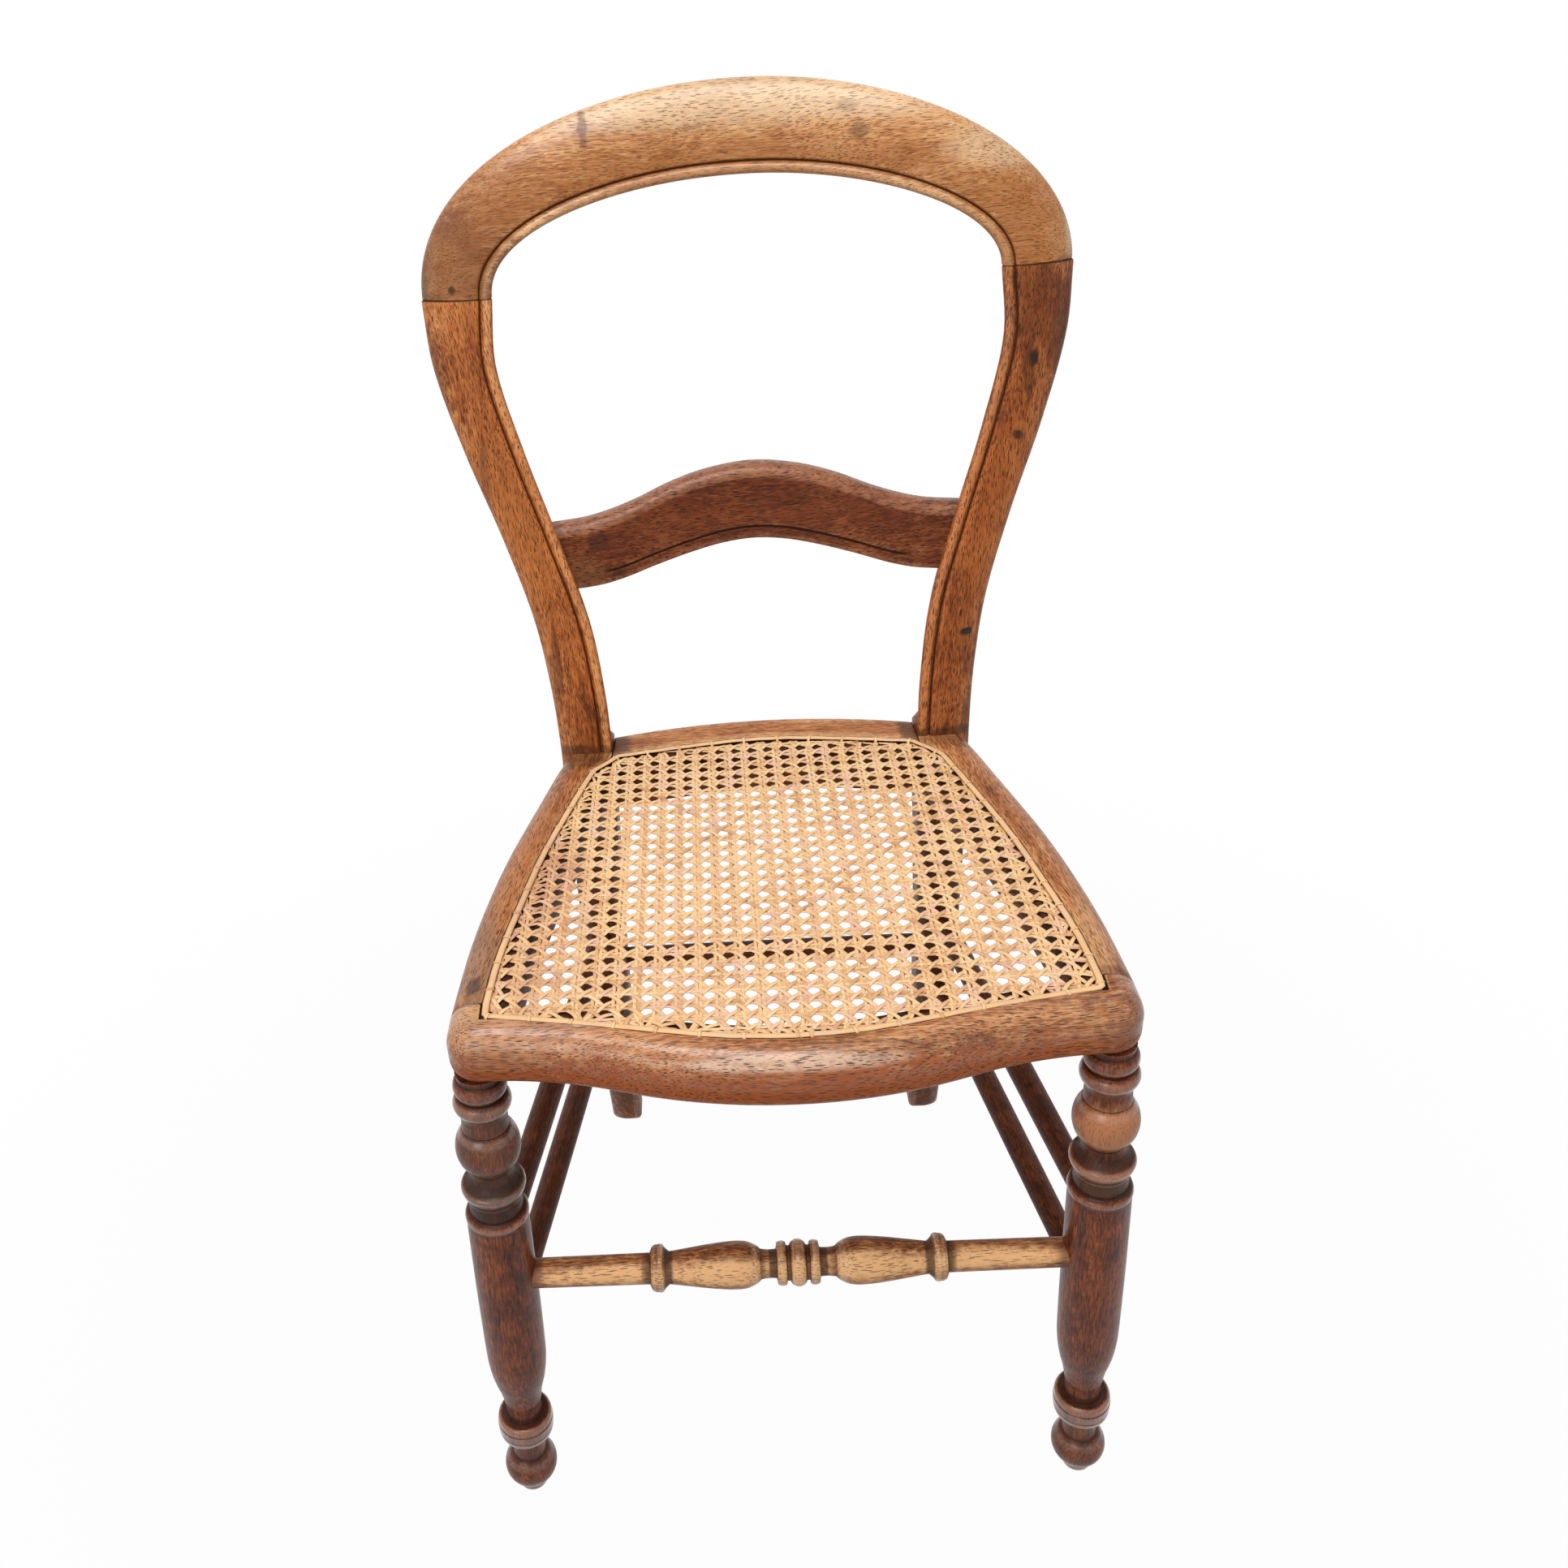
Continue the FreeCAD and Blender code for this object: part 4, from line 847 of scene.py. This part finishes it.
PLAIN_TONES = ((0.045, 0.012, 0.005), (0.125, 0.031, 0.009), (0.25, 0.074, 0.025))
REMAINS = {"left": 0.25, "right": 0.55, "rear": 0.25}
plain = [("rear_stretcher", rear_axis(-1, REAR_LEVEL), rear_axis(1, REAR_LEVEL), (REAR_INSET, REAR_INSET), 8.2, 8.6)]
for side, way in SIDES:
    for level, height in SIDE_LEVELS:
        plain.append(("%s_%s_stretcher" % (side, level), leg_axis(way, height - 2), rear_axis(way, height + 2),
                      (FRONT_INSET, REAR_INSET), 8.7, 9.3))
for name, start, end, insets, tip, belly in plain:
    along = (end - start).normalized()
    length = (end - start).length - sum(insets)
    swelling = ((30, tip + 0.25), (length / 2, belly), (length - 30, tip + 0.25), (length - 20, tip))
    rows = ((0, tip), (20, tip), swelling, (length, tip))
    bar = turned(name + "_turning", rows, start + along * insets[0], end - along * insets[1], 36)
    stain = wood(name + "_wood", tuple(along), PLAIN_TONES, worn_and_highlight=(0.34, 0.14, 0.06), wear_and_highlight=0.5,
                 remains=REMAINS[name.split("_")[0]], rough=0.45, coat=0.1)
    fit(bar, stain, "stretcher_wood", name)


# The cane seat is woven by hand through a ring of holes: pairs of strands from front to back
# and from side to side, then one strand each way on the slant. A strand is split cane, flat
# below, rounded and glossy above.
PITCH = 12.5
HOLES = 94
# Where a column and a row of the weave lie, which the others are counted from
COLUMN = -4.65
ROW = 83.6
CANE_LEVEL = 450.85
CANE_WIDE = 2.45
SLANT_WIDE = 2.9
CANE_THICK = 0.7
LAYER = 0.72
PAIR = 1.4
SHORTEST = 14
SAG = 1.2
SAG_MIDDLE = Vector((0, -50))
SAG_REACH = 190
random.seed(19)
front_hole, side_hole, back_hole = border(0.0)
right_half = front_hole + [(182.5, -197.0)] + side_hole + back_hole[::-1]
left_half = [(-point[0], point[1]) for point in right_half[::-1]]
ring_line = [Vector(point) for point in right_half[1:] + left_half[1:]]
holes = even(ring_line + ring_line[:1], HOLES)[:-1]
# Holes that several strands share, near the left front corner, so their neighbours are left out
FANS = (Vector((-123.2, -201.7)), Vector((-63.6, -216.4)))
for fan in FANS:
    nearest = min(holes, key=lambda hole: (hole - fan).length)
    holes = [hole for hole in holes if hole is nearest or (hole - nearest).length > PITCH * 1.5]


def crossings(spot, direction):
    """Where a straight line crosses the border, as distances along it."""
    found = []
    normal = Vector((-direction.y, direction.x))
    for a, b in zip(ring_line, ring_line[1:] + ring_line[:1]):
        da, db = (a - spot).dot(normal), (b - spot).dot(normal)
        if (da < 0) != (db < 0):
            found.append((a.lerp(b, da / (da - db)) - spot).dot(direction))
    return sorted(found)


cane_points, cane_faces, cane_shades, cane_rims = [], [], [], []
# Shares of a strand's width and thickness round its section, and how near each is to its edge
STRAND = ((-0.5, 0.0, 1), (-0.36, 0.42, 0.4), (0.0, 0.56, 0), (0.36, 0.42, 0.4), (0.5, 0.0, 1), (0.3, -0.42, 1),
          (-0.3, -0.42, 1))


def ribbon(line, ups, wide, thick, shade):
    """Adds one flat strand along a line of plan points at given heights."""
    count = len(STRAND)
    base = len(cane_points)
    for spot, point in enumerate(line):
        ahead = line[min(spot + 1, len(line) - 1)] - line[max(spot - 1, 0)]
        across = Vector((-ahead.y, ahead.x)).normalized()
        for x, up, rim in STRAND:
            place = point + across * x * wide
            cane_points.append(Vector((place.x, place.y, ups[spot] + up * thick)) * MM)
            cane_shades.append(shade)
            cane_rims.append(rim)
    for ring in range(len(line) - 1):
        for spot in range(count):
            a, b = base + ring * count + spot, base + ring * count + (spot + 1) % count
            cane_faces.append((a, b, b + count, a + count))
    last = base + (len(line) - 1) * count
    cane_faces.append(tuple(range(base + count - 1, base - 1, -1)))
    cane_faces.append(tuple(range(last, last + count)))


def strand(spot, direction, weave, shade, wide=CANE_WIDE):
    """Weaves one strand along a straight line between two holes of the border. Weave gives how far it
    lies above or below the others at a point."""
    ends = crossings(spot, direction)
    if len(ends) < 2 or ends[-1] - ends[0] < SHORTEST:
        return
    first, last = ends[0], ends[-1]
    homes = []
    for end in (first, last):
        place = spot + direction * end
        homes.append(min(holes, key=lambda hole: (hole - place).length) - place)
    length = last - first
    count = max(6, round(length / 2.0))
    line, ups = [], []
    for number in range(count + 1):
        place = first + length * number / count
        point = spot + direction * place
        pull = [math.exp(-((place - end) / 9.0) ** 2) for end in (first, last)]
        point = point + homes[0] * pull[0] + homes[1] * pull[1]
        edge = min(place - first, last - place)
        dip = 3.2 * max(0.0, 1 - edge / 2.2) ** 1.5
        sag = SAG * (1 - min(1.0, (point - SAG_MIDDLE).length / SAG_REACH) ** 2)
        line.append(point)
        ups.append(CANE_LEVEL + weave(point) * min(1.0, edge / 6) - dip - sag)
    ribbon(line, ups, wide * random.uniform(0.93, 1.07), CANE_THICK, shade)


def over_under(past, turn):
    """How high a strand lies at a distance past a pair that crosses it, over one and under the other."""
    off = (past + PITCH / 2) % PITCH - PITCH / 2
    return turn * LAYER * 0.6 * math.sin(math.pi * past / PAIR / 2) * math.exp(-(off / 3.4) ** 2)


def weave_pairs(numbers, start, pitch, across, along, first, sign):
    """Weaves pairs of strands one way. First is where the pairs that cross them are counted from."""
    for number in numbers:
        for aside, turn in ((-PAIR, -sign), (PAIR, sign)):
            wander = random.uniform(-0.35, 0.35)
            turn *= 1 if number % 2 else -1
            strand(across * (start + pitch * number + aside + wander), along,
                   lambda point: over_under(point.dot(along) - first, turn), random.random())


rightwards, backwards = Vector((1, 0)), Vector((0, 1))
weave_pairs(range(-16, 18), COLUMN, PITCH, rightwards, backwards, ROW, 1)
weave_pairs(range(-26, 4), ROW, PITCH + 0.05, backwards, rightwards, COLUMN, -1)
for slope in (1, -1):
    direction = Vector((1, slope)).normalized()
    for number in range(-40, 41):
        spot = Vector((COLUMN + PITCH * (number + 0.5), ROW))
        strand(spot + Vector((random.uniform(-0.4, 0.4), 0)), direction,
               lambda point: slope * LAYER * math.cos(2 * math.pi * (point.x - COLUMN - PITCH / 2) / PITCH),
               random.random(), SLANT_WIDE)


def woven(name, slot, nodes, material):
    """Makes one piece of the strands that have been added."""
    piece = new_piece(name, cane_points, cane_faces, shade=cane_shades, rim=cane_rims)
    fit(piece, material, slot, *nodes)


def split_cane(name, tones, pink):
    """Split cane with its glossy skin. Tones are the colours of a dark, a usual and a pale strand, and
    pink is the blush on some."""
    material, wire = new_material(name)
    place = wire.node("TexCoord", out="Object")
    shade = place.node("Attribute", {"attribute_name": "shade"}, out="Fac")
    rim = place.node("Attribute", {"attribute_name": "rim"}, out="Fac")
    speckle = place.times(900, 900, 900).noise(2.0)
    patch = place.times(45, 45, 45).noise(3.0, 0.6)
    dark, usual, pale = tones
    tone = shade * 0.55 + patch * 0.6 + speckle * 0.2 - 0.18
    colour = tone.node("ValToRGB", {"stops": ((0.1, dark), (0.45, usual), (0.9, pale))}, {"Fac": tone})
    colour = (place.times(60, 60, 60).noise(3.0).span(0.48, 0.68) * 0.6).mix(colour, (*pink, 1))
    ruddy = near(place, patch - 0.5, (-155, -95, 452), (26, 95, 20)) * shade.span(0.3, 0.75) * 0.7
    colour = ruddy.mix(colour, (0.50, 0.19, 0.10, 1))
    colour = (rim * 0.3).mix(colour, tuple(c * 0.55 for c in dark) + (1,))
    gloss = 0.36 + speckle * 0.2 + rim * 0.12
    bump = speckle.node("Bump", {}, {"Strength": 0.3, "Distance": 0.0002, "Height": speckle})
    wire.node("OutputMaterial", {}, {"Surface": wire.node("BsdfPrincipled", {}, {
        "Base Color": colour, "Roughness": gloss, "Coat Weight": 0.15, "Coat Roughness": 0.3, "Normal": bump})})
    return material


CANE_TONES = ((0.58, 0.26, 0.11), (0.92, 0.57, 0.27), (0.97, 0.70, 0.38))
woven("cane_weave", "cane", ("cane_panel", "cane_pegs"), split_cane("cane_skin", CANE_TONES, (0.90, 0.57, 0.42)))


# The binder is a wider strip of cane laid over the holes, and a fine strand comes up through
# every second hole, crosses it and goes down again.
cane_points, cane_faces, cane_shades, cane_rims = [], [], [], []
BINDER_LEVEL = 452.6
BINDER_WIDE, BINDER_THICK = 4.4, 1.1
STITCH_WIDE, STITCH_THICK = 2.2, 0.6
BINDER_STEPS = 380
STITCH_EVERY = 8
# Distances across and up, over the binder and down again
STITCH = ((-2.9, -2.4), (-2.55, -0.4), (-1.9, 0.55), (-0.7, 0.85), (0.7, 0.85), (1.9, 0.55), (2.55, -0.4),
          (2.9, -2.4))
line = even(ring_line + ring_line[:1], BINDER_STEPS)
ups = [BINDER_LEVEL + 0.12 * math.sin(0.9 * spot) for spot in range(len(line))]
ribbon(line, ups, BINDER_WIDE, BINDER_THICK, 0.5)
for spot in range(2, BINDER_STEPS - 2, STITCH_EVERY):
    ahead = (line[spot + 1] - line[spot - 1]).normalized()
    across = Vector((-ahead.y, ahead.x))
    lean = ahead * random.uniform(-0.8, 0.8)
    points = [line[spot] + across * x + lean * (x / 3) for x, up in STITCH]
    ribbon(points, [BINDER_LEVEL + up for x, up in STITCH], STITCH_WIDE, STITCH_THICK, random.random())
BINDER_TONES = ((0.60, 0.30, 0.12), (0.90, 0.54, 0.25), (0.96, 0.69, 0.39))
woven("binder_strip", "binder_cane", ("cane_binder",), split_cane("binder_skin", BINDER_TONES, (0.80, 0.52, 0.34)))


# The chair stands on a plain pale floor, which shows white and still takes its shadow, in soft
# light from above and in front. The camera was fitted to the photograph by the cane's grid, the
# feet and the back's outline.
def seen_directly(wire):
    """1 where the camera, a reflection or clear glass looks straight at the surface."""
    paths = [wire.node("LightPath", out=name) for name in ("Is Camera Ray", "Is Glossy Ray", "Is Transmission Ray")]
    return wire.sum("MINIMUM", paths[0] + paths[1] + paths[2], 1.0)


floor = new_piece("floor", [(-60, -60, 0), (60, -60, 0), (60, 60, 0), (-60, 60, 0)], [(0, 1, 2, 3)])
paint, wire = new_material("floor_paper")
lit = wire.node("BsdfPrincipled", {},
                {"Base Color": (0.4, 0.4, 0.4, 1), "Roughness": 0.9, "Specular IOR Level": 0.1})
glow = wire.node("Emission", {}, {"Color": (1, 1, 1, 1), "Strength": 1.0})
ground = wire.node("TexCoord", out="Object")
away = ground.node("VectorMath", {"operation": "LENGTH"}, {0: ground}, out="Value").span(0.35, 1.1)
white = seen_directly(wire) * (away * 0.03 + 0.97)
wire.node("OutputMaterial", {}, {"Surface": wire.node("MixShader", {}, {0: white, 1: lit, 2: glow})})
floor.data.materials.append(paint)

world = bpy.data.worlds.new("studio")
bpy.context.scene.world = world
world.use_nodes = True
world.node_tree.nodes.clear()
wire = Wire(world.node_tree)
strength = seen_directly(wire) * 0.5 + 0.5
sky = wire.node("Background", {}, {"Color": (1, 1, 1, 1), "Strength": strength})
wire.node("OutputWorld", {}, {"Surface": sky})

LAMP_AIM = Vector((0, 0, 0.4))
LAMPS = (("overhead", (-0.3, -0.5, 2.6), 1.1, 28.0), ("front", (-1.4, -2.4, 1.7), 1.4, 15.0))
for name, place, width, power in LAMPS:
    data = bpy.data.lights.new(name, "AREA")
    data.size = width
    data.energy = power
    lamp = bpy.data.objects.new(name, data)
    lamp.location = place
    lamp.rotation_euler = (LAMP_AIM - Vector(place)).to_track_quat("-Z", "Y").to_euler()
    bpy.context.scene.collection.objects.link(lamp)

CAMERA_PLACE = Vector((-0.0324, -0.8178, 0.9894))
YAW, DOWN, ROLL = math.radians(-2.26), math.radians(32.03), math.radians(-4.17)
forward = Vector((math.sin(YAW) * math.cos(DOWN), math.cos(YAW) * math.cos(DOWN), -math.sin(DOWN)))
level_right = Vector((math.cos(YAW), -math.sin(YAW), 0))
level_up = level_right.cross(forward)
right = level_right * math.cos(ROLL) + level_up * math.sin(ROLL)
up = level_up * math.cos(ROLL) - level_right * math.sin(ROLL)
lens = bpy.data.cameras.new("camera")
lens.lens = 31.42
lens.sensor_width = 36.0
lens.shift_x = 0.0665
lens.shift_y = 0.00686
camera = bpy.data.objects.new("camera", lens)
camera.matrix_world = Matrix.Translation(CAMERA_PLACE) @ Matrix((right, up, -forward)).transposed().to_4x4()
bpy.context.scene.collection.objects.link(camera)
bpy.context.scene.camera = camera
bpy.context.scene.view_settings.view_transform = "Standard"
